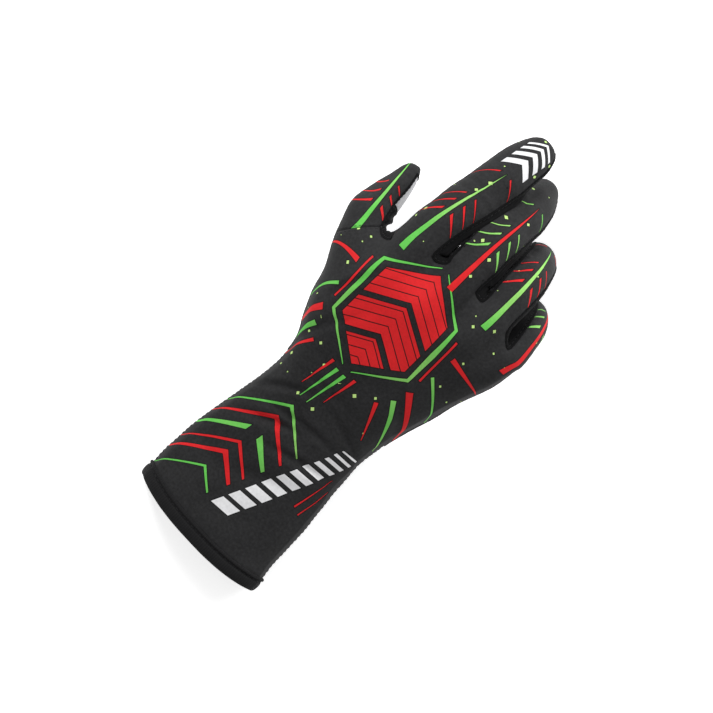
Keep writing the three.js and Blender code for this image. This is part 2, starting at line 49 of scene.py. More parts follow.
glove = {
    "hemMiddle": (2.134, -131.624, 0.0),  # where the middle of the hem lies in the frame
    "levels": 3,  # times the cage is divided
    "cloth": 1.4,  # thickness
    "suede": 1.5,
    "seamGap": 0.3,
    "pressedFlat": 0.6,  # how far the table pushes the cloth up
    "webReach": (5.5, 12.5, 5.0),  # how far each web between two fingers comes forward, low in the gap
    "hemLift": 1.25,  # the hem stands on its binding
    "hemLiftReach": 14.0,
    "bowPower": 2.6, "thenarPower": 1.6,  # how square the hem's bow and the ball of the thumb are
    "tipMark": 4,  # how much further along a fingertip's last line counts
}

handColumns = "y left right top bottom side boxy flat bow skew thenar hollow lean knuckle".split()
handSections = [
    (3.2, -43.1, 44.7, 30, 0, 11, 2.2, 4, -6.4, -1.6, 0, 0, 0, 0),
    (11, -43.1, 43.7, 31, 0, 12, 2.2, 4, -5, -1.2, 0, 0, 0, 0),
    (24, -43.1, 42.9, 32.4, 0, 13, 2.2, 4, -3, -0.6, 0, 0, 0, 0),
    (38, -41.7, 42.3, 34, 0, 14, 2.2, 3.8, -1, 0, 0, 0, 0, 0),
    (50, -40.1, 40.7, 36.2, 0, 15.5, 2.2, 3.4, 0, 0, 0, 0, 0, 0),
    (60, -37.7, 39.1, 38.2, 0, 17, 2.2, 3, 0, 0, 0, 0, 0, 0),
    (69, -36.1, 38.5, 40.0, 0.3, 18.8, 2.2, 2.8, 0, 0, 0, 0, 0, 0),
    (78, -34.7, 38.3, 42.4, 1.6, 21.2, 2.3, 2.6, 0, 0, 0, 0, 0, 0),
    (87, -33.5, 38.1, 44.8, 3.2, 23.6, 2.3, 2.6, 0, 0, 0, 0.3, 0, 0),
    (98, -33.3, 39.5, 48.8, 5.4, 26.5, 2.4, 2.5, 0, 0, 0, 0.8, -0.01, 0),
    (113, -37.3, 44.3, 54.5, 8.8, 31, 2.5, 2.5, 0, 0, 1, 2, -0.02, 0),
    (127, -46.9, 48.1, 60, 14, 36, 2.6, 2.5, 0, 0, 4.5, 3.5, -0.04, 0),
    (141, -53.0, 52.1, 65, 20, 42, 2.6, 2.6, 0, 0, 9, 4, -0.05, 0),
    (154, -47.0, 56.1, 69, 27, 48, 2.6, 2.6, 0, 0, 12, 3.5, -0.06, 0.1),
    (166, -42.0, 59.5, 71.5, 34, 52, 2.6, 2.6, 0, 0, 10, 2, -0.07, 0.35),
    (177, -40.0, 60.9, 71.5, 40, 55, 2.6, 2.6, 0, 0, 4, 0, -0.07, 0.75),
]

# Soft hollows of the worn cloth: side (1 back, -1 underside), x, y, reach across, reach along, depth.
handDents = [
    (1, -4, 80, 24, 6, 1.7),
    (1, 14, 66, 18, 6, 1.1),
    (1, -10, 97, 22, 7, -0.9),
    (1, 8, 34, 26, 14, 1.0),
    (1, -22, 138, 10, 16, 1.2),
    (-1, 6, 92, 24, 7, 1.4),
    (-1, -8, 134, 9, 20, 2.2),
]

# Rings of each finger: along, pitch, yaw, roll, half width, half height. seams: angles of the seams round
# a ring; the second of these moves to tipSeam on the way to the tip, so that the side strip narrows.
fingers = {
    "index": {
        "base": (-23.9, 187, 56.5), "seams": (-72, 60, 104, 256), "tipSeam": 84,
        "rings": [
            (0, 2, 8, -18, 14.3, 12.0), (11, 5, 8, -18, 14.3, 11.5), (22, 9, 8, -18, 14.1, 11.5),
            (33, 14, 8, -16, 13.7, 11.3), (44, 18, 8, -13, 13.4, 10.9), (54.5, 22, 8, -10, 13.2, 10.7),
            (64.5, 25, 8, -7, 12.8, 10.3), (74, 28, 7, -5, 12.2, 9.8), (82, 31, 6, -4, 11.1, 8.9),
            (88.5, 34, 5, -4, 9.0, 7.2), (92, 36, 5, -4, 5.6, 4.4),
        ],
    },
    "middle": {
        "base": (5.8, 189, 59.5), "seams": (-58, 60, 104, 256), "tipSeam": 82,
        "rings": [
            (0, 6, 1.5, -4, 12.6, 12.0), (11, 10, 1.5, -4, 12.7, 11.5), (22, 21, 2, -4, 12.4, 11.6),
            (32.5, 33, 1.5, -3, 12.1, 11.4), (44, 41, 0, -3, 11.9, 11.0), (55, 48, -2, -2, 11.8, 10.8),
            (66, 55, -4, -2, 11.5, 10.4), (76, 61, -5, -2, 10.9, 9.8), (84.5, 65, -6, -2, 9.9, 8.9),
            (91, 68, -6, -2, 8.1, 7.2), (95, 70, -6, -2, 5.2, 4.2),
        ],
    },
    "ring": {
        "base": (31.1, 187, 57), "seams": (-58, 58, 104, 256), "tipSeam": 58,
        "rings": [
            (0, 8, 0, 8, 11.8, 11.4), (9, 13, 0, 8, 12.0, 11.0), (18, 26, -1, 8, 12.0, 11.1),
            (27, 43, -2, 7, 12.0, 11.0), (36, 55, -4, 6, 11.6, 10.4), (45, 64, -6, 5, 11.3, 10.1),
            (54, 75, -8, 4, 10.9, 9.8), (62, 84, -8, 4, 10.3, 9.3), (70, 90, -8, 4, 9.2, 8.4),
            (75.5, 94, -8, 4, 7.4, 6.8), (78.5, 96, -8, 4, 4.8, 4.0),
        ],
    },
    "little": {
        "base": (52.2, 177, 50), "seams": (-44, 70, 104, 256), "tipSeam": 70,
        "rings": [
            (0, 12, -4, 28, 9.3, 10.2), (8, 22, -6, 28, 9.8, 9.9), (16, 38, -8, 27, 9.8, 9.9),
            (23, 54, -10, 25, 9.8, 9.8), (30, 66, -11, 22, 9.6, 9.3), (37, 75, -12, 20, 9.3, 9.0),
            (44, 83, -12, 18, 9.0, 8.7), (50, 89, -12, 18, 8.6, 8.3), (56, 93, -12, 18, 7.8, 7.5),
            (60.5, 96, -12, 18, 6.3, 6.0), (63, 98, -12, 18, 4.1, 3.6),
        ],
    },
}

# Rings of the thumb: x, y, z, pitch, yaw, roll, half width, half height, share drawn back to the gap's edge.
thumb = {
    "firstSection": 12, "gapSections": 3, "firstAngle": -45, "seamRing": 2, "gussetLastRing": 4, "tipRing": 7,
    "backPoints": (10, 11, 0, 1, 2), "gussetPoints": (3, 4), "rootPasses": 8, "rootShare": 0.5,
    "rings": [
        (-49.0, 163.4, 41, 12, -62, 0, 16.6, 14.6, 0.4), (-50.8, 169.6, 37.0, 22, -50, -1, 14.8, 13.4, 0.1),
        (-53.0, 177.8, 31.6, 30, -34, -3, 13.4, 12.2, 0), (-54.9, 186.2, 26.2, 31, -18, -5, 12.6, 11.4, 0),
        (-54.5, 196, 20.4, 29, -9, -6, 10.6, 10.2, 0), (-53.9, 204.6, 16, 25, -5, -6, 8.7, 8.8, 0),
        (-53.9, 211.8, 13, 22, -3, -5, 6.2, 6.4, 0), (-54, 216, 11.4, 20, -3, -4, 3.4, 3.6, 0),
    ],
}

palmStartsAtSection = 9
fingerNames = list(fingers)
stripNames = [f"side_strip_{a}_{b}" for a, b in zip(fingerNames, fingerNames[1:])]
panelNames = [
    "back_panel", "cuff_underside", "palm_panel", "thumb_back", "thumb_palm", "thumb_gusset", *stripNames,
]

# A finger ring: five points on the back, one on the little finger's side, five on the palm and one on the
# thumb's side.
backLast, farSide, palmFirst, palmLast, nearSide = 4, 5, 6, 10, 11
rightSide, leftSide = 20, 41  # places in a hand section; 0 to 19 are on top and 21 to 40 below
columnReach = 0.93
stripNarrows = (15, 60)  # lengths along a finger
knuckleRise = 0.06

cagePoints, cageMarks, cageQuads, cagePanels = [], [], [], []
# Marks of a point: u and v on the flat cloth, across and along its own finger, which finger, and 1 on the
# back or -1 on the underside.
markNames = ("u", "v", "across", "along", "finger", "back")


def smoothStep(value, low, high):
    t = np.clip((value - low) / (high - low), 0, 1)
    return t * t * (3 - 2 * t)


def unit(vectors):
    return vectors / np.maximum(np.linalg.norm(vectors, axis=1), 1e-9)[:, None]


def runAlong(path):
    # the distance from a line's start, at each of its points
    return np.concatenate([[0], np.cumsum(np.linalg.norm(np.diff(path, axis=0), axis=1))])


def addPoint(point, marks):
    cagePoints.append(np.array(point, float))
    cageMarks.append(np.array(marks, float))
    return len(cagePoints) - 1


def addQuad(panel, *corners):
    cageQuads.append(corners)
    cagePanels.append(panelNames.index(panel))


def ringFrame(pitch, yaw, roll):
    p, w, r = np.radians((pitch, yaw, roll))
    ahead = np.array((math.sin(w), math.cos(w) * math.cos(p), -math.cos(w) * math.sin(p)))
    level = np.array((math.cos(w), -math.sin(w) * math.cos(p), math.sin(w) * math.sin(p)))
    upright = np.cross(level, ahead)
    up = upright * math.cos(r) + level * math.sin(r)
    right = level * math.cos(r) - upright * math.sin(r)
    return ahead, up, right


def ringOf(centre, directions, wide, high, angles):
    _, up, right = directions
    a = np.radians(angles)[:, None]
    return centre + right * wide * np.sin(a) + up * high * np.cos(a)


def fingerRings(finger):
    backFrom, backTo, palmFrom, palmTo = finger["seams"]
    palm = np.linspace(palmFrom, palmTo, 5)
    centre = np.array(finger["base"], float)
    made, before = [], None
    for along, pitch, yaw, roll, wide, high in finger["rings"]:
        if before:
            step = ringFrame((before[1] + pitch) / 2, (before[2] + yaw) / 2, 0)[0]
            centre = centre + step * (along - before[0])
        seam = backTo + (finger["tipSeam"] - backTo) * smoothStep(along, *stripNarrows)
        back = np.linspace(backFrom, seam, 5)
        angles = [*back, (seam + palmFrom) / 2, *palm, (palmTo + backFrom + 360) / 2]
        made.append(ringOf(centre, ringFrame(pitch, yaw, roll), wide, high, angles))
        before = (along, pitch, yaw)
    return made


def inSection(f, k):
    if k <= backLast:
        return f * 5 + k
    if k == farSide:
        return rightSide if f == 3 else None
    if k <= palmLast:
        return rightSide + 1 + (3 - f) * 5 + k - palmFirst
    return leftSide if f == 0 else None


ringsOfFingers = [fingerRings(finger) for finger in fingers.values()]
webSection = np.zeros((leftSide + 1, 3))
for f, rings in enumerate(ringsOfFingers):
    for k, point in enumerate(rings[0]):
        if inSection(f, k) is not None:
            webSection[inSection(f, k)] = point
topX = webSection[:rightSide, 0]
columnPlaces = columnReach * (2 * (topX - topX[0]) / (topX[-1] - topX[0]) - 1)


def sectionPoint(row, place):
    onTop = place <= rightSide
    sides = {rightSide: 1.0, leftSide: -1.0}
    across = sides[place] if place in sides else columnPlaces[place if onTop else 2 * rightSide - place]
    middle = (row["left"] + row["right"]) / 2
    x = middle + across * (row["right"] - row["left"]) / 2
    power = row["boxy"] if onTop else row["flat"]
    swell = (1 - abs(across) ** power) ** (1 / power)
    if onTop:
        height = row["side"] + (row["top"] - row["side"]) * swell
        hang = 0
    else:
        height = row["side"] - (row["side"] - row["bottom"]) * swell
        height += row["hollow"] * math.cos(across * math.pi / 2) ** 2
        hang = row["thenar"] * max(0, -across) ** glove["thenarPower"]
    y = row["y"] + row["bow"] * (1 - abs(across) ** glove["bowPower"]) + row["skew"] * across
    pressed = 0
    for side, dentX, dentY, reachX, reachY, depth in handDents:
        if side == (1 if onTop else -1) and place not in sides:
            pressed += depth * math.exp(-((x - dentX) / reachX) ** 2 - ((y - dentY) / reachY) ** 2)
    return np.array((x, y, height - hang + (-pressed if onTop else pressed) + row["lean"] * (x - middle)))


def sectionMarks(points):
    # u follows the cloth outwards from the line above x = 0; each column belongs to the finger ahead of it
    marks = np.zeros((len(points), len(markNames)))
    top = [leftSide, *range(rightSide + 1)]
    bottom = [leftSide, *range(leftSide - 1, rightSide - 1, -1)]
    for order in (bottom, top):
        run = runAlong(points[order])
        marks[order, 0] = run - np.interp(0, points[order, 0], run)
    marks[:, 1] = points[:, 1]
    for place in range(len(points)):
        column = place if place < rightSide else 2 * rightSide - place if place > rightSide else 19
        f = min(max(column // 5, 0), 3) if place != leftSide else 0
        marks[place, 2] = marks[place, 0] - marks[f * 5:f * 5 + 5, 0].mean()
        marks[place, 3] = points[place, 1] - webSection[f * 5:f * 5 + 5, 1].mean()
        marks[place, 4] = f
        marks[place, 5] = 0 if place in (leftSide, rightSide) else 1 if place < rightSide else -1
    return marks


def addHand():
    rows = []
    for values in handSections:
        row = dict(zip(handColumns, values))
        points = np.array([sectionPoint(row, place) for place in range(leftSide + 1)])
        if row["knuckle"]:
            web = webSection.copy()
            web[:, 2] += (web[:, 1] - points[:, 1]) * knuckleRise
            web[:, 1] = points[:, 1]
            points += (web - points) * row["knuckle"]
        rows.append([addPoint(*both) for both in zip(points, sectionMarks(points))])
    rows.append([addPoint(*both) for both in zip(webSection, sectionMarks(webSection))])
    gap = range(thumb["firstSection"], thumb["firstSection"] + thumb["gapSections"])
    for j in range(len(rows) - 1):
        for place in range(leftSide + 1):
            if j in gap and place in (0, leftSide, leftSide - 1):
                continue
            after = (place + 1) % (leftSide + 1)
            underside = "cuff_underside" if j < palmStartsAtSection else "palm_panel"
            panel = underside if rightSide <= place < leftSide else "back_panel"
            addQuad(panel, rows[j][place], rows[j][after], rows[j + 1][after], rows[j + 1][place])
    return rows


def fingerPanel(f, k):
    if k < backLast:
        return "back_panel"
    if k < palmFirst and f < 3:
        return stripNames[f]
    if k < farSide:
        return "back_panel"
    if k < palmLast:
        return "palm_panel"
    if f > 0:
        return stripNames[f - 1]
    return "palm_panel" if k < nearSide else "back_panel"


def webRing(f, webRow):
    # the first ring of a finger, with the points between two fingers added
    made = []
    points = ringsOfFingers[f][0]
    for k, point in enumerate(points):
        place = inSection(f, k)
        if place is not None:
            made.append(webRow[place])
            continue
        edge, sign = (backLast, 1) if k == farSide else (0, -1)
        marks = cageMarks[webRow[inSection(f, edge)]].copy()
        step = sign * np.linalg.norm(point - points[edge])
        marks[[0, 2]] += step
        marks[5] = 0
        reach = glove["webReach"][f if k == farSide else f - 1]
        made.append(addPoint(point + (0, reach, 0), marks))
    return made


def addFinger(f, firstRing):
    rows = fingers[fingerNames[f]]["rings"]
    middle = np.mean([cageMarks[i][0] for i in firstRing[:farSide]])
    before = firstRing
    for row, ring in zip(rows[1:], ringsOfFingers[f][1:]):
        here = []
        for k, point in enumerate(ring):
            marks = cageMarks[firstRing[k]].copy()
            marks[2] *= row[4] / rows[0][4]
            marks[0] = middle + marks[2]
            marks[[1, 3]] += row[0]
            marks[4] = f
            here.append(addPoint(point, marks))
        for k in range(12):
            after = (k + 1) % 12
            addQuad(fingerPanel(f, k), before[k], before[after], here[after], here[k])
        before = here
    top, bottom = before[:farSide], before[palmFirst:nearSide][::-1]
    tip = [before[nearSide]]
    for a, b in list(zip(top, bottom))[1:-1]:
        marks = cageMarks[a].copy()
        marks[[1, 3]] += glove["tipMark"]
        tip.append(addPoint((cagePoints[a] + cagePoints[b]) / 2, marks))
    tip.append(before[farSide])
    for k in range(backLast):
        addQuad("back_panel", top[k], top[k + 1], tip[k + 1], tip[k])
        addQuad("back_panel", tip[k], tip[k + 1], bottom[k + 1], bottom[k])


def thumbPanel(ring, k):
    if ring == thumb["tipRing"]:
        return "thumb_back"
    if k in thumb["backPoints"]:
        return "back_panel" if ring < thumb["seamRing"] else "thumb_back"
    if k in thumb["gussetPoints"] and ring < thumb["gussetLastRing"]:
        return "thumb_gusset"
    return "palm_panel" if ring < thumb["seamRing"] else "thumb_palm"


def addThumb(rows):
    first, last = thumb["firstSection"], thumb["firstSection"] + thumb["gapSections"]
    edge = [rows[j][1] for j in range(first, last + 1)]
    edge += [rows[last][0], rows[last][leftSide]]
    edge += [rows[j][leftSide - 1] for j in range(last, first - 1, -1)]
    edge += [rows[first][leftSide], rows[first][0]]
    root = [*edge, rows[-1][0], rows[-1][leftSide], rows[-1][leftSide - 1]]
    angles = thumb["firstAngle"] + 30 * np.arange(12)
    before = edge
    for r, (x, y, z, pitch, yaw, roll, wide, high, share) in enumerate(thumb["rings"]):
        ring = ringOf(np.array((x, y, z)), ringFrame(pitch, yaw, roll), wide, high, angles)
        here = []
        for k, point in enumerate(ring):
            start = cagePoints[edge[k]]
            point = point + (start - point) * share
            marks = cageMarks[edge[k]].copy()
            marks[0:2] += point[0:2] - start[0:2]
            marks[5] = 1 if k in thumb["backPoints"] else -1
            here.append(addPoint(point, marks))
        for k in range(12):
            after = (k + 1) % 12
            addQuad(thumbPanel(r, k), before[k], before[after], here[after], here[k])
        if r < thumb["seamRing"]:
            root += here
        before = here
    for k in range(5):
        above, below = (10 + k) % 12, (9 - k) % 12
        addQuad("thumb_back", before[above], before[(above + 1) % 12], before[below - 1], before[below])
    return root


def evenOut(points, quads, which):
    beside = {i: set() for i in which}
    for corners in quads:
        for a, b in zip(corners, corners[1:] + corners[:1]):
            if a in beside:
                beside[a].add(b)
            if b in beside:
                beside[b].add(a)
    for _ in range(thumb["rootPasses"]):
        means = [points[list(beside[i])].mean(0) for i in which]
        for i, mean in zip(which, means):
            points[i] += (mean - points[i]) * thumb["rootShare"]


handRows = addHand()
webRings = [webRing(f, handRows[-1]) for f in range(4)]
for f in range(4):
    addFinger(f, webRings[f])
for f in range(3):
    one, two = webRings[f], webRings[f + 1]
    addQuad(stripNames[f], one[backLast], two[0], two[nearSide], one[farSide])
    addQuad(stripNames[f], one[farSide], two[nearSide], two[palmLast], one[palmFirst])
thumbRoot = addThumb(handRows)
cageXyz = np.array(cagePoints)
evenOut(cageXyz, cageQuads, thumbRoot)
print("cage:", len(cageXyz), "points,", len(cageQuads), "patches")


# The smooth skin


def edgesOf(quads):
    ends = np.stack([quads, np.roll(quads, -1, axis=1)], axis=2).reshape(-1, 2)
    edges, which, uses = np.unique(np.sort(ends, axis=1), axis=0, return_inverse=True, return_counts=True)
    return edges, which.reshape(-1), uses


def divide(points, quads):
    # one round of Catmull-Clark on points of any number of columns
    edges, which, uses = edgesOf(quads)
    count, faces = len(points), len(quads)
    centres = points[quads].mean(1)
    middles = points[edges].mean(1)
    besideEdge = np.zeros_like(middles)
    np.add.at(besideEdge, which, np.repeat(centres, 4, axis=0))
    inside = (uses == 2)[:, None]
    edgePoints = np.where(inside, (2 * middles + besideEdge) / 4, middles)
    ring, around = np.zeros_like(points), np.zeros_like(points)
    valence = np.maximum(np.bincount(quads.reshape(-1), minlength=count), 1)[:, None]
    np.add.at(ring, quads.reshape(-1), np.repeat(centres, 4, axis=0))
    for end in (0, 1):
        np.add.at(around, edges[:, end], middles)
    inner = (ring / valence + 2 * around / valence + (valence - 3) * points) / valence
    opened = edges[uses == 1]
    rim = np.zeros_like(points)
    for end in (0, 1):
        np.add.at(rim, opened[:, end], middles[uses == 1])
    onRim = np.isin(np.arange(count), opened)[:, None]
    moved = np.where(onRim, points / 2 + rim / 4, inner)
    edgeAt = count + which.reshape(faces, 4)
    centreAt = count + len(edges) + np.arange(faces)
    corners = [
        np.stack([quads[:, k], edgeAt[:, k], centreAt, edgeAt[:, k - 1]], axis=1)
        for k in range(4)
    ]
    return np.concatenate([moved, edgePoints, centres]), np.stack(corners, axis=1).reshape(-1, 4)


def normalsOf(points, quads):
    a, b, c, d = (points[quads[:, k]] for k in range(4))
    facing = np.cross(c - a, d - b)
    normals = np.zeros_like(points)
    for k in range(4):
        np.add.at(normals, quads[:, k], facing)
    return unit(normals)


def hill(value, middle, width):
    return np.exp(-(((value - middle) / width) ** 2))


skin = np.hstack([cageXyz, np.array(cageMarks)])
skinQuads = np.array(cageQuads)
skinPanel = np.array(cagePanels)
for _ in range(glove["levels"]):
    skin, skinQuads = divide(skin, skinQuads)
    skinPanel = np.repeat(skinPanel, 4)
skinXyz = skin[:, :3].copy()
skinXyz[:, 2] = np.maximum(skinXyz[:, 2] - glove["pressedFlat"], 0)
skinMarks = {name: skin[:, 3 + i] for i, name in enumerate(markNames)}
skinNormals = normalsOf(skinXyz, skinQuads)

# Between the fingers: neighbours swell sideways until they nearly meet.
gaps = {
    "leftOpen": 0.12, "rounds": 4, "evenings": 8, "rayStart": 0.3, "smoothing": 1 / 3, "thumbFrom": -45,
    "byForefinger": {"widest": 8.0, "most": 2.6, "unmet": 1.0},
    "byOthers": {"widest": 5.0, "most": 1.6, "unmet": 0.4},
    "above": (0.6, 0.9), "below": (0.15, 0.45), "fromWeb": (0.5, 4.5), "across": (0.45, 0.75),
}


def closeGaps(points):
    tree = BVHTree.FromPolygons(points.tolist(), skinQuads.tolist())
    normals = normalsOf(points, skinQuads)
    sideways = unit(normals * (1, 1, 0))
    leaning = (normals[:, 2] < gaps["above"][1]) & (normals[:, 2] > -gaps["below"][1])
    onFinger = (skinMarks["along"] > gaps["fromWeb"][0]) & (skin[:, 0] > gaps["thumbFrom"])
    byForefinger = points[:, 0] < fingers["middle"]["base"][0]
    swell = np.zeros(len(points))
    for i in np.flatnonzero(onFinger & leaning):
        plan = gaps["byForefinger" if byForefinger[i] else "byOthers"]
        start = points[i] + sideways[i] * gaps["rayStart"]
        *_, face, distance = tree.ray_cast(start, sideways[i], plan["widest"])
        if face is not None:
            swell[i] = np.clip((distance + gaps["rayStart"]) / 2 - gaps["leftOpen"], 0, plan["most"])
    edges = edgesOf(skinQuads)[0]
    weight = np.maximum(np.bincount(edges.reshape(-1), minlength=len(points)), 1)

    def besideMean(values):
        total = np.zeros_like(values)
        np.add.at(total, edges[:, 0], values[edges[:, 1]])
        np.add.at(total, edges[:, 1], values[edges[:, 0]])
        return total / weight.reshape(-1, *[1] * (values.ndim - 1))

    unmet = np.where(byForefinger, gaps["byForefinger"]["unmet"], gaps["byOthers"]["unmet"])
    limit = np.where(swell > 0, swell, unmet)
    for _ in range(gaps["evenings"]):
        swell = np.minimum(besideMean(swell), limit)
    swell *= 1 - smoothStep(normals[:, 2], *gaps["above"])
    swell *= 1 - smoothStep(-normals[:, 2], *gaps["below"])
    swell *= smoothStep(skinMarks["along"], *gaps["fromWeb"])
    swell *= smoothStep(np.abs(sideways[:, 0]), *gaps["across"])
    points = points + sideways * swell[:, None]
    return points + (besideMean(points) - points) * np.clip(swell, 0, 1)[:, None] * gaps["smoothing"]


for _ in range(gaps["rounds"]):
    skinXyz = closeGaps(skinXyz)
skinNormals = normalsOf(skinXyz, skinQuads)
print("skin:", len(skinXyz), "points,", len(skinQuads), "patches")


# Seams: the lines where two panels meet


def walkLines(edges):
    # chains of edges, each as a list of points, broken where more than two edges meet
    beside = {}
    for a, b in edges.tolist():
        beside.setdefault(a, []).append(b)
        beside.setdefault(b, []).append(a)
    left = {frozenset(edge) for edge in edges.tolist()}
    starts = sorted(i for i, others in beside.items() if len(others) != 2) + sorted(beside)
    chains = []
    for start in starts:
        for first in sorted(beside[start]):
            if frozenset((start, first)) not in left:
                continue
            chain, ahead = [start], [first]
            while ahead:
                left.discard(frozenset((chain[-1], ahead[0])))
                chain.append(ahead[0])
                others = beside[chain[-1]]
                ahead = [i for i in others if len(others) == 2 and frozenset((chain[-1], i)) in left]
            chains.append(chain)
    return chains


def findSeams():
    edges, which, uses = edgesOf(skinQuads)
    low = np.full(len(edges), len(panelNames))
    high = np.full(len(edges), -1)
    np.minimum.at(low, which, np.repeat(skinPanel, 4))
    np.maximum.at(high, which, np.repeat(skinPanel, 4))
    found = []
    for one in range(len(panelNames)):
        for two in range(one + 1, len(panelNames)):
            shared = edges[(low == one) & (high == two) & (uses == 2)]
            if len(shared):
                found += [(panelNames[one], panelNames[two], chain) for chain in walkLines(shared)]
    return found, walkLines(edges[uses == 1])[0]


seams, hemLine = findSeams()
seamTree = KDTree(sum(len(chain) for *_, chain in seams))
seamRuns = []
for *_, chain in seams:
    for point, distance in zip(skinXyz[chain], runAlong(skinXyz[chain])):
        seamTree.insert(point, len(seamRuns))
        seamRuns.append(distance)
seamTree.balance()
nearest = [seamTree.find(point)[1:] for point in skinXyz]
fromSeam = np.array([distance for _, distance in nearest])
seamRun = np.array(seamRuns)[[i for i, _ in nearest]]
print("seams:", len(seams))


# Folds and creases of the cloth

folds = {
    "seamDip": 0.3, "seamDipWidth": 1.5,  # the cloth sinks into a seam
    "pucker": 0.09, "puckerLength": 5.5, "puckerFrom": 2.2, "puckerReach": 2.5,  # little waves across a seam
    "unevenness": 0.22, "shortest": 14.0, "longest": 34.0, "waves": 26, "seed": 7,  # slow waves all over
    "gather": 0.7, "gatherLength": 6.4, "gatherLean": 0.35, "gatherFrom": 2.5,  # ruffles of the gusset
    "bend": 0.05, "bendLength": 9, "shoulder": 0.8,  # a crease isn't straight, and has soft shoulders
    "handEnds": (-14, -2),  # the hand's creases fade out from 2 to 14 mm past a finger's root
    "fingersFrom": -12,  # a finger's own creases start this far along it
    "onTable": 0.25, "freeFrom": 6,  # cloth that lies on the table has this share of its folds
}

# Creases: side (1 back, -1 underside), u, v, turn in degrees from across, half length, half width, depth.
creases = [
    (1, -12, 66, 22, 17, 3.2, 2.6), (1, 2, 76, 8, 22, 3.0, 2.4), (1, 12, 60, 14, 18, 3.2, 2.2),
    (1, -20, 84, 30, 15, 3.0, 2.1), (1, 22, 88, -16, 16, 2.8, 1.7), (1, -30, 120, 58, 18, 3.4, 1.5),
    (1, 34, 118, -52, 15, 3.2, 1.3), (1, -4, 98, 3, 18, 3.2, 1.5), (1, -34, 148, 66, 15, 3.2, 1.2),
    (1, 4, 40, 24, 26, 6.0, 1.4), (1, -22, 30, -18, 20, 6.0, 1.2), (1, -14, 108, -14, 14, 3.0, 1.1),
    (1, -12, 186, 75, 16, 2.4, 0.5), (1, 18, 184, 86, 16, 2.4, 0.5), (1, 42, 176, 92, 14, 2.2, 0.4),
    (1, -10, 68, -18, 8, 1.7, 0.9), (1, -4, 73, -24, 9, 1.7, 1.0), (1, -17, 62, -12, 7, 1.6, 0.7),
    (1, 3, 66, -26, 8, 1.6, 0.8), (1, -7, 80, -20, 8, 1.7, 0.8), (1, 10, 72, -30, 7, 1.6, 0.6),
    (-1, 6, 84, -6, 26, 2.8, 1.1), (-1, -4, 96, 8, 24, 2.6, 1.0), (-1, -26, 128, 62, 20, 3.4, 1.3),
    (-1, 4, 150, 12, 30, 3.0, 1.3), (-1, 16, 166, -8, 28, 2.8, 1.2), (-1, 8, 118, -14, 22, 3.0, 0.9),
]

# The thumb's outer side stands out or sinks in here: x, y, reach, out.
thumbSide = [(-57, 153, 10, 2.3), (-63.5, 192, 7, -1.3), (-61.5, 202, 8, -1.7)]

# Creases across a finger: finger, side, along, half width, depth.
jointCreases = [
    (0, -1, 4, 2.2, 1.0), (0, -1, 36, 2.4, 1.1), (0, -1, 41, 2.0, 0.7), (0, -1, 62, 2.0, 0.9),
    (1, -1, 6, 2.2, 1.2), (1, -1, 32, 2.4, 1.4), (1, -1, 38, 2.0, 1.0), (1, -1, 64, 2.0, 1.0),
    (2, -1, 5, 2.2, 1.3), (2, -1, 25, 2.4, 1.5), (2, -1, 31, 2.0, 1.1), (2, -1, 53, 2.0, 1.0),
    (3, -1, 5, 2.0, 1.2), (3, -1, 21, 2.2, 1.4), (3, -1, 27, 1.8, 1.0), (3, -1, 44, 1.8, 0.8),
    (0, 1, 37, 2.6, 0.35), (0, 1, 43, 2.2, 0.3), (1, 1, 10, 3.0, 0.3),
]


def valley(offset, width):
    # a crease with a soft shoulder on each side
    t = (offset / width) ** 2
    return (1 - folds["shoulder"] * t) * np.exp(-t)


def foldDepth():
    u, v, back = skinMarks["u"], skinMarks["v"], skinMarks["back"]
    onHand = smoothStep(-skinMarks["along"], *folds["handEnds"])
    lower = np.zeros(len(u))
    for side, middleU, middleV, turn, length, width, depth in creases:
        t = math.radians(turn)
        along = (u - middleU) * math.cos(t) + (v - middleV) * math.sin(t)
        across = (v - middleV) * math.cos(t) - (u - middleU) * math.sin(t)
        across = across + folds["bend"] * along * np.sin(along / folds["bendLength"])
        shown = smoothStep(side * back, 0.1, 0.9) * onHand
        lower += depth * valley(across, width) * hill(along, 0, length) * shown
    for finger, side, along, width, depth in jointCreases:
        own = (np.abs(skinMarks["finger"] - finger) < 0.5) & (skinMarks["along"] > folds["fingersFrom"])
        lower += own * depth * valley(skinMarks["along"] - along, width) * smoothStep(side * back, 0.2, 1)
    return lower


def unevenCloth():
    random = np.random.default_rng(folds["seed"])
    total = np.zeros(len(skinXyz))
    for _ in range(folds["waves"]):
        direction = random.normal(size=3)
        direction /= np.linalg.norm(direction)
        wave = random.uniform(folds["shortest"], folds["longest"])
        total += np.sin(skinXyz @ direction * 2 * math.pi / wave + random.uniform(0, 2 * math.pi))
    return folds["unevenness"] * total / math.sqrt(folds["waves"] / 2)


def thumbSideDepth():
    total = np.zeros(len(skinXyz))
    for x, y, reach, out in thumbSide:
        total += out * hill(np.hypot(skinXyz[:, 0] - x, skinXyz[:, 1] - y), 0, reach)
    return total * smoothStep(-skinNormals[:, 0], 0, 0.7)


def wavesOf(distance, length):
    return np.sin(2 * math.pi * distance / length)


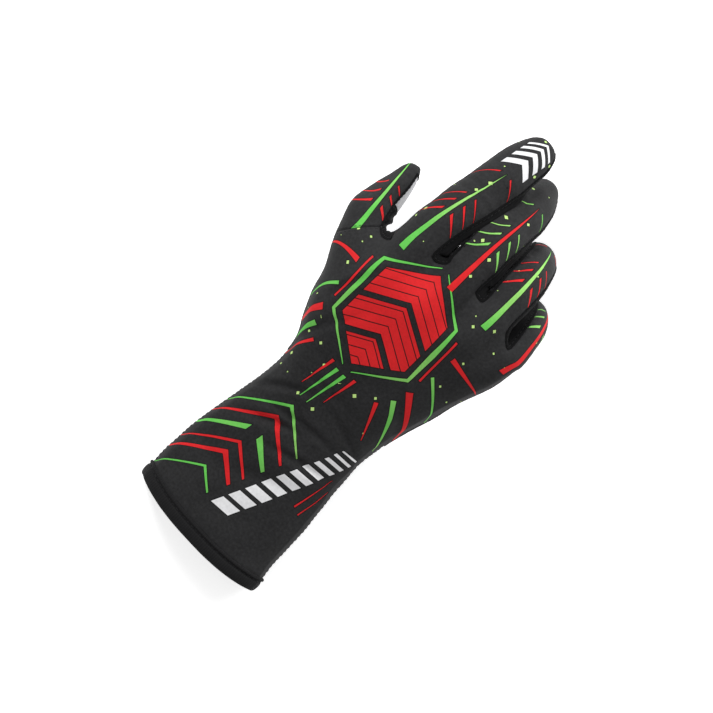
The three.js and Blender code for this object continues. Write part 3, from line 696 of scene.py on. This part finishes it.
gussetPart = np.zeros(len(skinXyz))
gussetPart[skinQuads[skinPanel == panelNames.index("thumb_gusset")]] = 1
raised = unevenCloth() - foldDepth() + thumbSideDepth()
raised -= folds["seamDip"] * hill(fromSeam, 0, folds["seamDipWidth"])
puckers = wavesOf(seamRun, folds["puckerLength"]) * hill(fromSeam, folds["puckerFrom"], folds["puckerReach"])
raised += folds["pucker"] * puckers
ruffles = 1 + wavesOf(skinXyz[:, 1] - folds["gatherLean"] * skinXyz[:, 0], folds["gatherLength"])
raised += gussetPart * folds["gather"] * ruffles * smoothStep(fromSeam, 0, folds["gatherFrom"])
raised *= folds["onTable"] + (1 - folds["onTable"]) * smoothStep(skinXyz[:, 2], 0, folds["freeFrom"])
cloth = skinXyz + skinNormals * raised[:, None]
hemLevel = glove["hemLift"] * (1 - smoothStep(cloth[:, 1], 0, glove["hemLiftReach"]))
cloth[:, 2] = np.maximum(cloth[:, 2], hemLevel)
clothNormals = normalsOf(cloth, skinQuads)
print("folds made")


# Shaders


class Signal:
    # one output of a node; arithmetic on it adds Math nodes
    def __init__(self, graph, socket):
        self.graph = graph
        self.socket = socket

    def math(self, operation, *others, clamp=False):
        inputs = dict(enumerate([self, *others]))
        return self.graph.node("ShaderNodeMath", {"operation": operation, "use_clamp": clamp}, inputs)

    def swapped(self, operation, other):
        # for a number before the operator, as in 1 - mask
        return self.graph.node("ShaderNodeMath", {"operation": operation}, {0: other, 1: self})

    __add__ = __radd__ = partialmethod(math, "ADD")
    __mul__ = __rmul__ = partialmethod(math, "MULTIPLY")
    __sub__ = partialmethod(math, "SUBTRACT")
    __rsub__ = partialmethod(swapped, "SUBTRACT")
    __truediv__ = partialmethod(math, "DIVIDE")
    __rtruediv__ = partialmethod(swapped, "DIVIDE")
    __abs__ = partialmethod(math, "ABSOLUTE")
    timesPlus = partialmethod(math, "MULTIPLY_ADD")
    least = partialmethod(math, "MINIMUM")
    most = partialmethod(math, "MAXIMUM")
    above = partialmethod(math, "GREATER_THAN")
    clamped = partialmethod(math, "ADD", 0.0, clamp=True)


class Graph:
    def __init__(self, name):
        self.material = bpy.data.materials.new(name)
        self.material.use_nodes = True
        self.tree = self.material.node_tree
        self.shader = self.tree.nodes["Principled BSDF"]

    def node(self, kind, settings=None, inputs=None, output=0):
        made = self.tree.nodes.new(kind)
        for name, value in (settings or {}).items():
            setattr(made, name, value)
        for name, value in (inputs or {}).items():
            self.feed(made.inputs[name], value)
        return Signal(self, made.outputs[output])

    def feed(self, socket, value):
        if isinstance(value, Signal):
            self.tree.links.new(value.socket, socket)
        elif hasattr(value, "__len__") and socket.type == "RGBA":
            socket.default_value = (*value, 1)
        else:
            socket.default_value = value

    def mix(self, factor, one, two):
        # colour sockets of the Mix node: 6 and 7 in, 2 out
        settings = {"data_type": "RGBA"}
        return self.node("ShaderNodeMix", settings, {0: factor, 6: one, 7: two}, output=2)

    def grey(self, shade):
        return self.node("ShaderNodeCombineXYZ", None, {0: shade, 1: shade, 2: shade})

    def times(self, one, two):
        return self.node("ShaderNodeVectorMath", {"operation": "MULTIPLY"}, {0: one, 1: two})

    def place(self):
        return self.node("ShaderNodeTexCoord", output="Object")

    def noise(self, place, size, detail=3.0):
        # size in millimetres
        settings = {"Vector": place, "Scale": 1000 / size, "Detail": detail, "Roughness": 0.6}
        return self.node("ShaderNodeTexNoise", None, settings, output="Fac")

    def wave(self, distance, length):
        return (distance * (2 * math.pi / length)).math("SINE")

    def parts(self, attribute):
        source = self.node("ShaderNodeAttribute", {"attribute_name": attribute}, output="Vector")
        return [self.node("ShaderNodeSeparateXYZ", None, {0: source}, output=k) for k in range(3)]

    def bump(self, height, distance, strength=1.0):
        inputs = {"Height": height, "Distance": distance / 1000, "Strength": strength}
        self.feed(self.shader.inputs["Normal"], self.node("ShaderNodeBump", None, inputs, output="Normal"))

    def finish(self, **values):
        for name, value in values.items():
            self.feed(self.shader.inputs[shaderInputs[name]], value)
        return self.material


shaderInputs = {
    "colour": "Base Color", "roughness": "Roughness", "specular": "Specular IOR Level",
    "sheen": "Sheen Weight", "sheenRoughness": "Sheen Roughness",
    "glow": "Emission Strength", "glowColour": "Emission Color",
}

inks = {
    "cloth": (0.0165, 0.0165, 0.0172),
    "outline": (0.003, 0.003, 0.0035),
    "red": (0.60, 0.013, 0.016),
    "green": (0.11, 0.48, 0.075),
    "pale": (0.46, 0.67, 0.21),
    "white": (0.70, 0.70, 0.71),
    "edge": 0.10,  # width of the blend at a shape's edge
    "outlineWidth": 0.45,
}

# The print: a pointed panel on the back of the hand, rays from it, chevrons on the cuff and marks on each
# finger.
printPlan = {
    "middle": (-4.0, 150.0),
    "panelHalfWidth": 23.0, "panelSlope": 36.0, "panelReach": 26.5,
    "hatchPitch": 5.6, "hatchWidth": 0.30, "hatchSlope": 0.55,
    "cutHalfWidth": 1.9, "cuts": (-13.0, 10.0),
    "ringOut": 4.6, "ringHalfWidth": 1.5, "ringTaper": 0.035, "ringOpen": 3.0,
    "outerRingOut": 9.2, "outerRingHalfWidth": 0.6, "outerRingReach": 14.0,
    "handEnd": 3.0,  # the hand's print ends this far along a finger
    "leanFrom": 112.0, "lean": 0.19,  # below this the middle line leans towards the thumb's side
    "cuffSlope": 0.72, "cuffReach": 44.0, "cuffMargin": 4.0,
    "cuffOpen": 4.0, "openFrom": 1.9,  # chevrons with a half width above this leave their middle open
}

# Small diamonds, scattered: their size shrinks with the lot that each draws.
diamonds = {
    "pitch": 10.5, "randomness": 0.9, "shrink": 2.2, "size": 0.85, "share": 0.52, "steep": 20.0,
    "fromPanel": 12.0, "fromCuff": 84.0,
}

# The knitted cloth under the inks: size and detail of each noise, and how strongly it shows.
knit = {
    "mottle": (1.6, 4.0), "clouds": (45.0, 2.0), "fading": (60.0, 1.0), "mottleShows": 1.5, "cloudsShow": 0.9,
    "fadeFrom": 0.42, "fadeSteep": 4.0, "fadeShows": 0.45, "inkMottle": 0.35,
    "loopAcross": 0.8, "loopAlong": 0.62, "loopHeight": 0.5, "bump": (0.12, 0.55),
    "rough": 0.6, "roughSpread": 0.2, "specular": 0.16,
}

# Rays beside the panel, mirrored about its middle: across and along from it, first and last half width, ink.
rays = [
    (33, -22, 62, -54, 2.0, 0.2, "red"), (30, -31, 50, -58, 1.5, 0.2, "green"),
    (24, -38, 37, -58, 1.1, 0.2, "red"), (36, -8, 66, -34, 0.9, 0.2, "green"),
    (37, 6, 64, 2, 1.5, 0.2, "red"), (2.6, -64, 2.6, -40, 0.2, 1.1, "green"),
    (8.0, -58, 8.0, -38, 0.15, 0.9, "red"),
]

# Chevrons on the cuff: where the point lies, half width at the point, ink.
cuffChevrons = [
    (79, 1.1, "green"), (69, 1.6, "red"), (58, 2.2, "green"), (46, 1.1, "red"), (37, 1.7, "red"),
    (24, 0.8, "green"),
]

# A row of slanting white bars along the cuff: middle, half width.
cuffBars = [
    (4, 3.5), (13.6, 3.3), (22.8, 3.0), (31.5, 2.7), (39.6, 2.4), (47.1, 2.1), (54, 1.8), (60.3, 1.5),
    (66, 1.2), (71, 0.9), (75.4, 0.6),
]
cuffBarPlan = {"from": (0.6, 13.0), "ahead": (0.42, 0.907), "halfHeight": 5.2, "slant": 0.55, "clear": 10.0}
cuffStrokes = [(29, 42, 35, 66, 0.5, 0.1), (34, 40, 38.5, 60, 0.4, 0.1)]

# Marks along a finger: along, half width, ink; the stripe down its middle has the other ink.
fingerChevrons = [(24, 1.2), (31.5, 0.9), (38, 0.6), (59, 0.6)]
fingerStripe = {
    "halfWidth": 1.9, "from": -9.0, "to": 57.0, "slope": 0.85, "columnPart": 0.12, "columnSteep": 40.0,
    "chevronReach": 16, "chevronOpen": 3.2, "tipSteep": 20.0, "tipAhead": 4.0, "tipReach": 7.6,
}
fingertipBars = [(65.5, 2.1), (72.5, 1.7), (78.6, 1.3), (83.6, 0.9)]


def stroke(u, v, fromU, fromV, toU, toV, fromHalf, toHalf):
    # how far a place lies outside a straight stroke that grows thinner
    length = math.hypot(toU - fromU, toV - fromV)
    x, y = (toU - fromU) / length, (toV - fromV) / length
    run = u.timesPlus(x, v.timesPlus(y, -(fromU * x + fromV * y)))
    side = abs(u.timesPlus(y, v.timesPlus(-x, fromV * x - fromU * y)))
    outside = run.timesPlus((fromHalf - toHalf) / length, side - fromHalf)
    return outside.most(abs(run - length / 2) - length / 2)


def printedCloth(name):
    g = Graph(name)
    u, v, _ = g.parts("printPlace")
    across, along, finger = g.parts("fingerPlace")
    plan = printPlan
    shapes = {"red": [], "green": [], "white": [], "second": [], "first": []}
    handOnly = along - plan["handEnd"]

    # the pointed panel, cut by two chevrons and hatched
    fromMiddle = (plan["leanFrom"] - v).most(0.0).timesPlus(plan["lean"], u - plan["middle"][0])
    mirrored = abs(fromMiddle)
    rise = v - plan["middle"][1]
    slope = math.radians(plan["panelSlope"])
    point = mirrored.timesPlus(math.sin(slope), abs(rise) * math.cos(slope))
    panel = (mirrored - plan["panelHalfWidth"]).most(point - plan["panelReach"])
    arrow = mirrored.timesPlus(plan["hatchSlope"], rise)
    cuts = [plan["cutHalfWidth"] - abs(arrow - place) for place in plan["cuts"]]
    solid = panel.most(cuts[0]).most(cuts[1]).most(handOnly)
    shapes["red"].append(solid)
    hatch = (arrow.math("PINGPONG", plan["hatchPitch"] / 2) - plan["hatchWidth"]).most(panel)

    # rings round the panel
    halfRing = abs(panel - plan["ringOut"]) - plan["ringHalfWidth"]
    taper = abs(rise).timesPlus(plan["ringTaper"], halfRing)
    shapes["green"].append(taper.most(handOnly).most(plan["ringOpen"] - mirrored))
    outer = abs(panel - plan["outerRingOut"]) - plan["outerRingHalfWidth"]
    shapes["red"].append(outer.most(handOnly).most(abs(rise) - plan["outerRingReach"]))

    for *places, ink in rays:
        shapes[ink].append(stroke(mirrored, rise, *places).most(handOnly))

    # chevrons on the cuff
    bars = cuffBarPlan
    (startU, startV), (aheadU, aheadV) = bars["from"], bars["ahead"]
    beside = u.timesPlus(aheadV, v.timesPlus(-aheadU, startV * aheadU - startU * aheadV))
    ahead = u.timesPlus(aheadU, v.timesPlus(aheadV, -startV * aheadV - startU * aheadU))
    cuffOnly = (mirrored - plan["cuffReach"] + plan["cuffMargin"]).most(beside + bars["clear"])
    cuffArrow = mirrored.timesPlus(plan["cuffSlope"], v)
    for place, half, ink in cuffChevrons:
        thinner = mirrored.timesPlus(half / plan["cuffReach"], abs(cuffArrow - place) - half).most(cuffOnly)
        if half > plan["openFrom"]:
            thinner = thinner.most(plan["cuffOpen"] - mirrored)
        shapes[ink].append(thinner)

    # white bars along the cuff, and two thin strokes beside them
    slanted = beside.timesPlus(-bars["slant"], ahead)
    tall = abs(beside) - bars["halfHeight"]
    for middle, half in cuffBars:
        shapes["white"].append((abs(slanted - middle) - half).most(tall))
    for places in cuffStrokes:
        shapes["red"].append(stroke(u, v, *places))

    # fingers: a stripe down the middle, chevrons over the joint, and white bars on the forefinger's tip
    stripe = fingerStripe
    ownColumn = (abs((finger + 0.5).math("FRACT") - 0.5) - stripe["columnPart"]) * stripe["columnSteep"]
    slimmer = stripe["halfWidth"] / (stripe["to"] - stripe["from"])
    stripeWidth = (along - stripe["from"]).timesPlus(slimmer, abs(across) - stripe["halfWidth"])
    ends = (stripe["from"] - along, ownColumn, along - stripe["to"])
    shapes["first"].append(reduce(Signal.most, ends, stripeWidth))
    fingerArrow = abs(across).timesPlus(stripe["slope"], along)
    for place, half in fingerChevrons:
        band = abs(across).timesPlus(half / stripe["chevronReach"], abs(fingerArrow - place) - half)
        shapes["second"].append(band.most(stripe["chevronOpen"] - abs(across)))
    onIndex = (finger - 0.5) * stripe["tipSteep"]
    for place, half in fingertipBars:
        band = abs(fingerArrow - place - stripe["tipAhead"]) - half
        shapes["white"].append(band.most(onIndex).most(abs(across) - stripe["tipReach"]))

    # small diamonds scattered between
    few = diamonds
    flat = g.node("ShaderNodeCombineXYZ", None, {0: u, 1: v})
    cells = {"voronoi_dimensions": "2D", "distance": "MANHATTAN"}
    toCells = {"Vector": flat, "Scale": 1 / few["pitch"], "Randomness": few["randomness"]}
    diamond = g.node("ShaderNodeTexVoronoi", cells, toCells, output="Distance")
    tint = g.node("ShaderNodeTexVoronoi", cells, toCells, output="Color")
    lot = g.node("ShaderNodeSeparateXYZ", None, {0: tint}, output=0)
    scattered = diamond.timesPlus(few["pitch"], lot.timesPlus(-few["shrink"], few["size"]))
    left = ((few["share"] - lot) * few["steep"], few["fromPanel"] - panel, few["fromCuff"] - v)
    shapes["pale"] = [reduce(Signal.most, left, scattered)]

    # inks of a finger's own marks swap from finger to finger
    even = (finger + 0.5).math("FLOOR").math("MODULO", 2.0).above(0.5)

    def cover(outside):
        return (0.5 - outside / inks["edge"]).clamped()

    names = ("red", "green", "white", "pale", "first", "second")
    red, green, white, pale, own, other = (reduce(Signal.least, shapes[name]) for name in names)
    anyShape = reduce(Signal.least, (red, green, white, pale, own, other))

    # the knitted cloth: mottled grey under the inks
    place = g.place()
    mottle = g.noise(place, *knit["mottle"])
    cloudy = g.noise(place, *knit["clouds"])
    shade = (mottle - 0.5).timesPlus(knit["mottleShows"], (cloudy - 0.5) * knit["cloudsShow"]) + 1.0
    fade = (g.noise(place, *knit["fading"]) - knit["fadeFrom"]).timesPlus(knit["fadeSteep"], 0.0).clamped()
    greenInk = g.mix(fade * knit["fadeShows"], inks["green"], inks["pale"])
    colour = g.times(inks["cloth"], g.grey(shade))
    layers = [
        (anyShape - inks["outlineWidth"], inks["outline"]), (pale, inks["pale"]), (green, greenInk),
        (red, g.mix(cover(hatch), inks["red"], inks["outline"])), (own, g.mix(even, greenInk, inks["red"])),
        (other, g.mix(even, inks["red"], greenInk)), (white, inks["white"]),
    ]
    for outside, ink in layers:
        colour = g.mix(cover(outside), colour, ink)
    shaded = g.times(colour, g.grey((mottle - 0.5).timesPlus(knit["inkMottle"], 1.0)))

    # the knit: rows of small loops
    loops = g.wave(u, knit["loopAcross"]) * g.wave(v, knit["loopAlong"])
    g.bump(loops.timesPlus(knit["loopHeight"], mottle), *knit["bump"])
    rough = mottle * knit["roughSpread"] + knit["rough"]
    return g.finish(colour=shaded, roughness=rough, specular=knit["specular"])


def plainCloth(name, base, grain, rough, sheen, bumpHeight=0.1):
    g = Graph(name)
    place = g.place()
    fine = g.noise(place, grain, 4.0)
    cloudy = g.noise(place, 30.0, 2.0)
    shade = (fine - 0.5).timesPlus(0.5, (cloudy - 0.5) * 0.4) + 1.0
    colour = g.times(base, g.grey(shade))
    g.bump(fine, bumpHeight, 0.6)
    return g.finish(colour=colour, roughness=rough, specular=0.25, sheen=sheen, sheenRoughness=0.5)


def ribbedCloth(name, base, pitch):
    g = Graph(name)
    place = g.place()
    fine = g.noise(place, 0.9, 3.0)
    u, v, _ = g.parts("printPlace")
    ribs, weft = g.wave(u, pitch), g.wave(v, pitch * 0.7)
    height = ribs.timesPlus(0.6, weft * 0.25) + fine
    # the rib wave also paints shade: the colour is darker in each rib's groove and lighter on its crest, in
    # step with the bump; the fine noise adds random tone
    shade = (ribs * 0.18 + fine * 0.5) + 0.75
    colour = g.times(base, g.grey(shade))
    g.bump(height, 0.14, 0.6)
    return g.finish(colour=colour, roughness=0.9, specular=0.12, sheen=0.02, sheenRoughness=0.5)


finishes = {
    "printed": printedCloth("printedCloth"),
    "plain": plainCloth("cuffCloth", (0.022, 0.022, 0.023), 1.4, 0.78, 0.08),
    "suede": plainCloth("paleSuede", (0.50, 0.50, 0.51), 1.1, 0.95, 0.25, 0.18),
    "stretch": ribbedCloth("stretchCloth", (0.0035, 0.0035, 0.0038), 1.1),
    "binding": ribbedCloth("hemBinding", (0.011, 0.011, 0.0115), 1.3),
    "lining": plainCloth("clothInside", (0.030, 0.030, 0.031), 1.8, 0.9, 0.1),
    "thread": plainCloth("sewingThread", (0.009, 0.009, 0.010), 0.4, 0.6, 0.0, 0.05),
}
print("finishes made")


# Meshes


def toFrame(points):
    return (np.asarray(points) + np.array(glove["hemMiddle"])) / 1000


def addObject(name, data):
    made = bpy.data.objects.new(name, data)
    bpy.context.scene.collection.objects.link(made)
    return made


def addMesh(name, points, faces, materials, faceMaterial=None, marks=None):
    mesh = bpy.data.meshes.new(name)
    mesh.from_pydata(toFrame(points).tolist(), [], [tuple(face) for face in faces])
    for material in materials:
        mesh.materials.append(finishes[material])
    if faceMaterial is not None:
        mesh.polygons.foreach_set("material_index", np.asarray(faceMaterial, np.int32))
    mesh.polygons.foreach_set("use_smooth", np.ones(len(mesh.polygons), bool))
    for attribute, values in (marks or {}).items():
        layer = mesh.attributes.new(attribute, "FLOAT_VECTOR", "POINT")
        layer.data.foreach_set("vector", np.asarray(values, np.float32).reshape(-1))
    mesh.update()
    made = addObject(name, mesh)
    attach(made, "root")
    return made


# Each panel; flat is the box of its flat cut in metres, and area the cut's area in square metres.
# A side strip is cut as one long ribbon that runs down one finger and up the next.
panels = {
    "back_panel": {"thickness": "cloth", "finish": "printed", "slot": "printed_cloth",
                   "flat": (0.155, 0.292), "area": 0.0300, "held": "stretched"},
    "cuff_underside": {"thickness": "cloth", "finish": "plain", "slot": "plain_cloth",
                       "flat": (0.098, 0.102), "area": 0.0096, "held": "laid"},
    "palm_panel": {"thickness": "suede", "finish": "suede", "slot": "suede",
                   "flat": (0.160, 0.185), "area": 0.0190, "held": "stretched"},
    "thumb_back": {"thickness": "cloth", "finish": "printed", "slot": "printed_cloth",
                   "flat": (0.034, 0.060), "area": 0.0015, "held": "stretched"},
    "thumb_palm": {"thickness": "suede", "finish": "suede", "slot": "suede",
                   "flat": (0.032, 0.058), "area": 0.00144, "held": "stretched"},
    "thumb_gusset": {"thickness": "cloth", "finish": "stretch", "slot": "stretch_cloth",
                     "flat": (0.018, 0.024), "area": 0.00036, "held": "gathered"},
    **{name: {"thickness": "cloth", "finish": "stretch", "slot": "stretch_cloth",
              "flat": (0.0115, length), "area": area, "held": "stretched"}
       for name, length, area in zip(stripNames, (0.190, 0.178, 0.146), (0.0018, 0.0016, 0.00145))},
}

# The thumb counts as a fifth finger, and lies off the hand's print.
thumbAxis = {"from": (-49.5, 166.0), "to": (-54.5, 216.0), "sideways": 3.0, "finger": 4.0, "offPrint": 500}


def thumbMarks(points):
    start, end = np.array(thumbAxis["from"]), np.array(thumbAxis["to"])
    ahead = (end - start) / np.linalg.norm(end - start)
    right = np.array((ahead[1], -ahead[0]))
    flat = points[:, :2] - start
    across = flat @ right + thumbAxis["sideways"]
    return np.stack([across, flat @ ahead, np.full(len(points), thumbAxis["finger"])], axis=1)


def buildPanel(name, settings):
    own = skinQuads[skinPanel == panelNames.index(name)]
    used, local = np.unique(own, return_inverse=True)
    quads = local.reshape(own.shape)
    outer, normals = cloth[used], clothNormals[used]
    edges, which, uses = edgesOf(quads)
    rimEdge = (uses == 1)[which].reshape(quads.shape)
    # a seam's points draw back from the neighbour
    inward = np.zeros_like(outer)
    np.add.at(inward, quads.reshape(-1), np.repeat(outer[quads].mean(1), 4, axis=0))
    count = np.bincount(quads.reshape(-1), minlength=len(outer))[:, None]
    inward = inward / count - outer
    inward -= normals * (inward * normals).sum(1)[:, None]
    inward = unit(inward)
    onRim = np.zeros(len(outer), bool)
    onRim[edges[uses == 1].reshape(-1)] = True
    onRim &= ~np.isin(used, hemLine)
    outer[onRim] += inward[onRim] * glove["seamGap"] / 2
    outer[:, 2] = np.maximum(outer[:, 2], 0)
    inner = outer - normals * glove[settings["thickness"]]
    shift = len(outer)
    rims = []
    for k in range(4):
        a, b = quads[:, k], quads[:, (k + 1) % 4]
        rims.append(np.stack([b, a, a + shift, b + shift], axis=1)[rimEdge[:, k]])
    rim = np.concatenate(rims)
    faces = np.concatenate([quads, quads[:, ::-1] + shift, rim])
    kinds = np.concatenate([np.zeros(len(quads)), np.ones(len(quads) + len(rim))])
    printPlace = np.stack([skinMarks["u"][used], skinMarks["v"][used], np.zeros(len(used))], axis=1)
    fingerPlace = np.stack([skinMarks[mark][used] for mark in ("across", "along", "finger")], axis=1)
    if name.startswith("thumb"):
        printPlace[:, 1] -= thumbAxis["offPrint"]
        fingerPlace = thumbMarks(skinXyz[used])
    marks = {"printPlace": np.tile(printPlace, (2, 1)), "fingerPlace": np.tile(fingerPlace, (2, 1))}
    inside = "stretch" if settings["finish"] == "stretch" else "lining"
    made = addMesh(name + "_cloth", np.concatenate([outer, inner]), faces.tolist(),
                   [settings["finish"], inside], kinds, marks)
    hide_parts(name)


for name, settings in panels.items():
    buildPanel(name, settings)
print("panels made")


# Sweeps along a line on the skin


def sidesOf(path, normals, closed):
    ahead = np.roll(path, -1, axis=0) - np.roll(path, 1, axis=0) if closed else np.gradient(path, axis=0)
    return unit(np.cross(unit(ahead), normals))


def tubeFaces(count, turns, closed):
    # faces between rings that follow each other, with a cap at each end of an open tube
    faces = []
    for i in range(count if closed else count - 1):
        here, ahead = i * turns, (i + 1) % count * turns
        for k in range(turns):
            after = (k + 1) % turns
            faces.append([here + k, here + after, ahead + after, ahead + k])
    if not closed:
        faces += [list(range(turns))[::-1], list(range((count - 1) * turns, count * turns))]
    return faces


def sweep(path, side, up, profile, closed):
    # profile: places (sideways, up) round a closed outline
    profile = np.asarray(profile, float)
    points = path[:, None] + side[:, None] * profile[:, 0, None] + up[:, None] * profile[:, 1, None]
    return points.reshape(-1, 3), tubeFaces(len(path), len(profile), closed)


def joined(parts):
    points, faces, shift = [], [], 0
    for some, own in parts:
        points.append(some)
        faces += [[i + shift for i in face] for face in own]
        shift += len(some)
    return np.concatenate(points), faces


def resample(path, values, step):
    run = runAlong(path)
    at = np.arange(0, run[-1], step)
    return [np.stack([np.interp(at, run, column) for column in each.T], axis=1) for each in (path, *values)]


# A stitch: eighths of its pitch along it, share of its radius, and how many radii it stands out.
threadShape = [(0, 0.35, -0.6), (1, 0.9, 0.1), (3, 1.0, 0.45), (4, 1.0, 0.45), (5, 0.9, 0.1), (6, 0.35, -0.6)]
threadAngles = np.arange(6) * math.pi / 3


def stitches(path, side, up, plan):
    # a row of short threads, each with its ends pulled into the cloth
    fine, sides, ups = resample(path, (side, up), plan["pitch"] / 8)
    faces = tubeFaces(len(threadShape), len(threadAngles), False)
    parts = []
    for start in range(0, len(fine) - 7, 8):
        rings = []
        for step, fat, lift in threadShape:
            i = start + step
            centre = fine[i] + sides[i] * plan["side"] + ups[i] * (plan["up"] + lift * plan["radius"])
            circle = np.cos(threadAngles)[:, None] * sides[i] + np.sin(threadAngles)[:, None] * ups[i]
            rings.append(centre + circle * plan["radius"] * fat)
        parts.append((np.concatenate(rings), faces))
    return parts


# Turned-out seams: two lips of cloth side by side, with a row of stitches in each flank.
ridge = {
    "profile": [(-0.68, -0.35), (-0.76, 0.15), (-0.6, 0.48), (-0.3, 0.58), (-0.08, 0.46), (0, 0.28),
                (0.08, 0.46), (0.3, 0.58), (0.6, 0.48), (0.76, 0.15), (0.68, -0.35)],
    "stitch": {"pitch": 2.6, "radius": 0.18, "side": 0.98, "up": 0.06},
    "flatStitch": {"pitch": 2.8, "radius": 0.2, "side": 1.3, "up": 0.08},  # beside a seam that lies flat
    "fewest": 4,  # points of a seam that is worth stitching
}


def isTurnedOut(one, two):
    names = (one, two)
    if any("strip" in name or "gusset" in name for name in names):
        return True
    return names == ("back_panel", "palm_panel") or "thumb_palm" in names


def buildSeams():
    lips, threads = [], []
    for one, two, chain in seams:
        if len(chain) < ridge["fewest"]:
            continue
        path, up = cloth[chain], clothNormals[chain]
        side = sidesOf(path, up, False)
        turnedOut = isTurnedOut(one, two)
        if turnedOut:
            points, faces = sweep(path, side, up, ridge["profile"][::-1], False)
            points[:, 2] = np.maximum(points[:, 2], 0)
            lips.append((points, faces))
        plan = ridge["stitch" if turnedOut else "flatStitch"]
        for hand in (-1, 1):
            threads += stitches(path, side, up, dict(plan, side=hand * plan["side"]))
    points, faces = joined(lips)
    marks = np.stack([points[:, 0] + points[:, 2], points[:, 1] - points[:, 2], points[:, 2]], axis=1)
    made = addMesh("seam_lips", points, faces, ["stretch"], marks={"printPlace": marks})
    points, faces = joined(threads)
    points[:, 2] = np.maximum(points[:, 2], 0)
    made = addMesh("seam_stitches", points, faces, ["thread"])


buildSeams()
print("seams made")


# The binding folded over the hem: places (out from the cloth, beyond the hem), and its row of stitches.
binding = {
    "profile": [
        (0.12, -1.3), (0.55, -1.75), (1.15, -1.55), (1.4, -0.95), (1.3, -0.25), (0.62, 0.2), (0.6, 0.75),
        (1.16, 1.3), (1.36, 2.4), (1.34, 4.2), (1.12, 5.6), (0.72, 6.7), (0.1, 7.25), (-0.7, 7.4),
        (-1.5, 7.25), (-2.12, 6.7), (-2.52, 5.6), (-2.68, 4.2), (-2.65, 2.6), (-2.5, 1.3), (-2.32, 0.7),
        (-2.35, 0.25), (-2.65, -0.3), (-2.7, -1.0), (-2.45, -1.6), (-1.95, -1.75), (-1.52, -1.3),
        (-1.52, 0.25), (0.12, 0.25),
    ],
    "wave": 0.16, "waveLength": 9.0, "waveReach": 7, "turnOutwards": (0.3, 1, 0.3),
    "stitch": {"pitch": 3.1, "radius": 0.24, "side": 0.5, "up": 0.66},
}


def buildBinding():
    line = hemLine[:-1] if hemLine[0] == hemLine[-1] else hemLine
    path, up = cloth[line], clothNormals[line]
    side = sidesOf(path, up, True)
    if side[:, 1].mean() > 0:
        side = -side
    side = unit(side * binding["turnOutwards"])
    up = unit(up - side * (up * side).sum(1)[:, None])
    profile = [(beyond, out) for out, beyond in binding["profile"]]
    points, faces = sweep(path, side, up, profile, True)
    run = np.repeat(runAlong(path), len(profile))
    beyond = np.tile([place for place, _ in profile], len(path))
    bulge = np.maximum(0, beyond) / binding["waveReach"]
    wave = binding["wave"] * wavesOf(run, binding["waveLength"]) * bulge
    points += np.repeat(up, len(profile), axis=0) * wave[:, None]
    points[:, 2] = np.maximum(points[:, 2], 0)
    marks = np.stack([run, beyond, points[:, 2]], axis=1)
    made = addMesh("hem_binding", points, faces, ["binding"], marks={"printPlace": marks})
    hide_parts("cuff_binding")
    loop = [np.concatenate([each, each[:1]]) for each in (path, side, up)]
    points, faces = joined(stitches(*loop, binding["stitch"]))
    points[:, 2] = np.maximum(points[:, 2], 0)
    made = addMesh("hem_stitches", points, faces, ["thread"])


buildBinding()
print("binding made")


# Table, light and camera

stage = {
    "tableSize": 6.0, "tableDrop": 0.0004,
    "table": {
        "colour": (0.9, 0.9, 0.9), "roughness": 0.9, "specular": 0.1, "glow": 0.56, "glowColour": (1, 1, 1),
    },
    "worldColour": (1.0, 1.0, 1.0), "worldStrength": 0.4,
    "azimuth": 45.0, "elevation": 90.0, "distance": 4.0, "span": 0.378, "aim": (-0.0025, -0.0099, 0.030),
    "lampAim": (0, 0, 0.03),
    # lamps: place, side length, power
    "lamps": [((-1.3, 0.9, 1.3), 0.8, 32.0), ((0.7, 1.7, 0.55), 0.9, 24.0), ((0.5, -1.6, 1.3), 1.4, 7.0)],
}


def aimAt(made, place, aim):
    direction = np.array(place) - np.array(aim)
    azimuth = math.atan2(direction[0], -direction[1])
    elevation = math.atan2(direction[2], math.hypot(direction[0], direction[1]))
    made.rotation_euler = (math.pi / 2 - elevation, 0, azimuth)
    made.location = place


def buildStage():
    half = stage["tableSize"] / 2
    mesh = bpy.data.meshes.new("table")
    corners = [(-half, -half), (half, -half), (half, half), (-half, half)]
    mesh.from_pydata([(x, y, -stage["tableDrop"]) for x, y in corners], [], [(0, 1, 2, 3)])
    mesh.materials.append(Graph("paleTable").finish(**stage["table"]))
    table = addObject("table", mesh)
    world = bpy.data.worlds.new("studio")
    world.use_nodes = True
    background = world.node_tree.nodes["Background"]
    background.inputs["Color"].default_value = (*stage["worldColour"], 1)
    background.inputs["Strength"].default_value = stage["worldStrength"]
    bpy.context.scene.world = world
    for i, (place, size, power) in enumerate(stage["lamps"]):
        lamp = bpy.data.lights.new(f"lamp{i}", "AREA")
        lamp.shape = "SQUARE"
        lamp.size = size
        lamp.energy = power
        aimAt(addObject(f"lamp{i}", lamp), place, stage["lampAim"])
    camera = addObject("camera", bpy.data.cameras.new("camera"))
    a, e = math.radians(stage["azimuth"]), math.radians(stage["elevation"])
    away = np.array((math.sin(a) * math.cos(e), -math.cos(a) * math.cos(e), math.sin(e)))
    camera.location = np.array(stage["aim"]) + away * stage["distance"]
    camera.rotation_euler = (math.pi / 2 - e, 0, a)
    camera.data.lens = camera.data.sensor_width * stage["distance"] / stage["span"]
    camera.data.clip_end = 50
    bpy.context.scene.camera = camera
    bpy.context.scene.view_settings.view_transform = "Standard"


buildStage()
print("stage made")
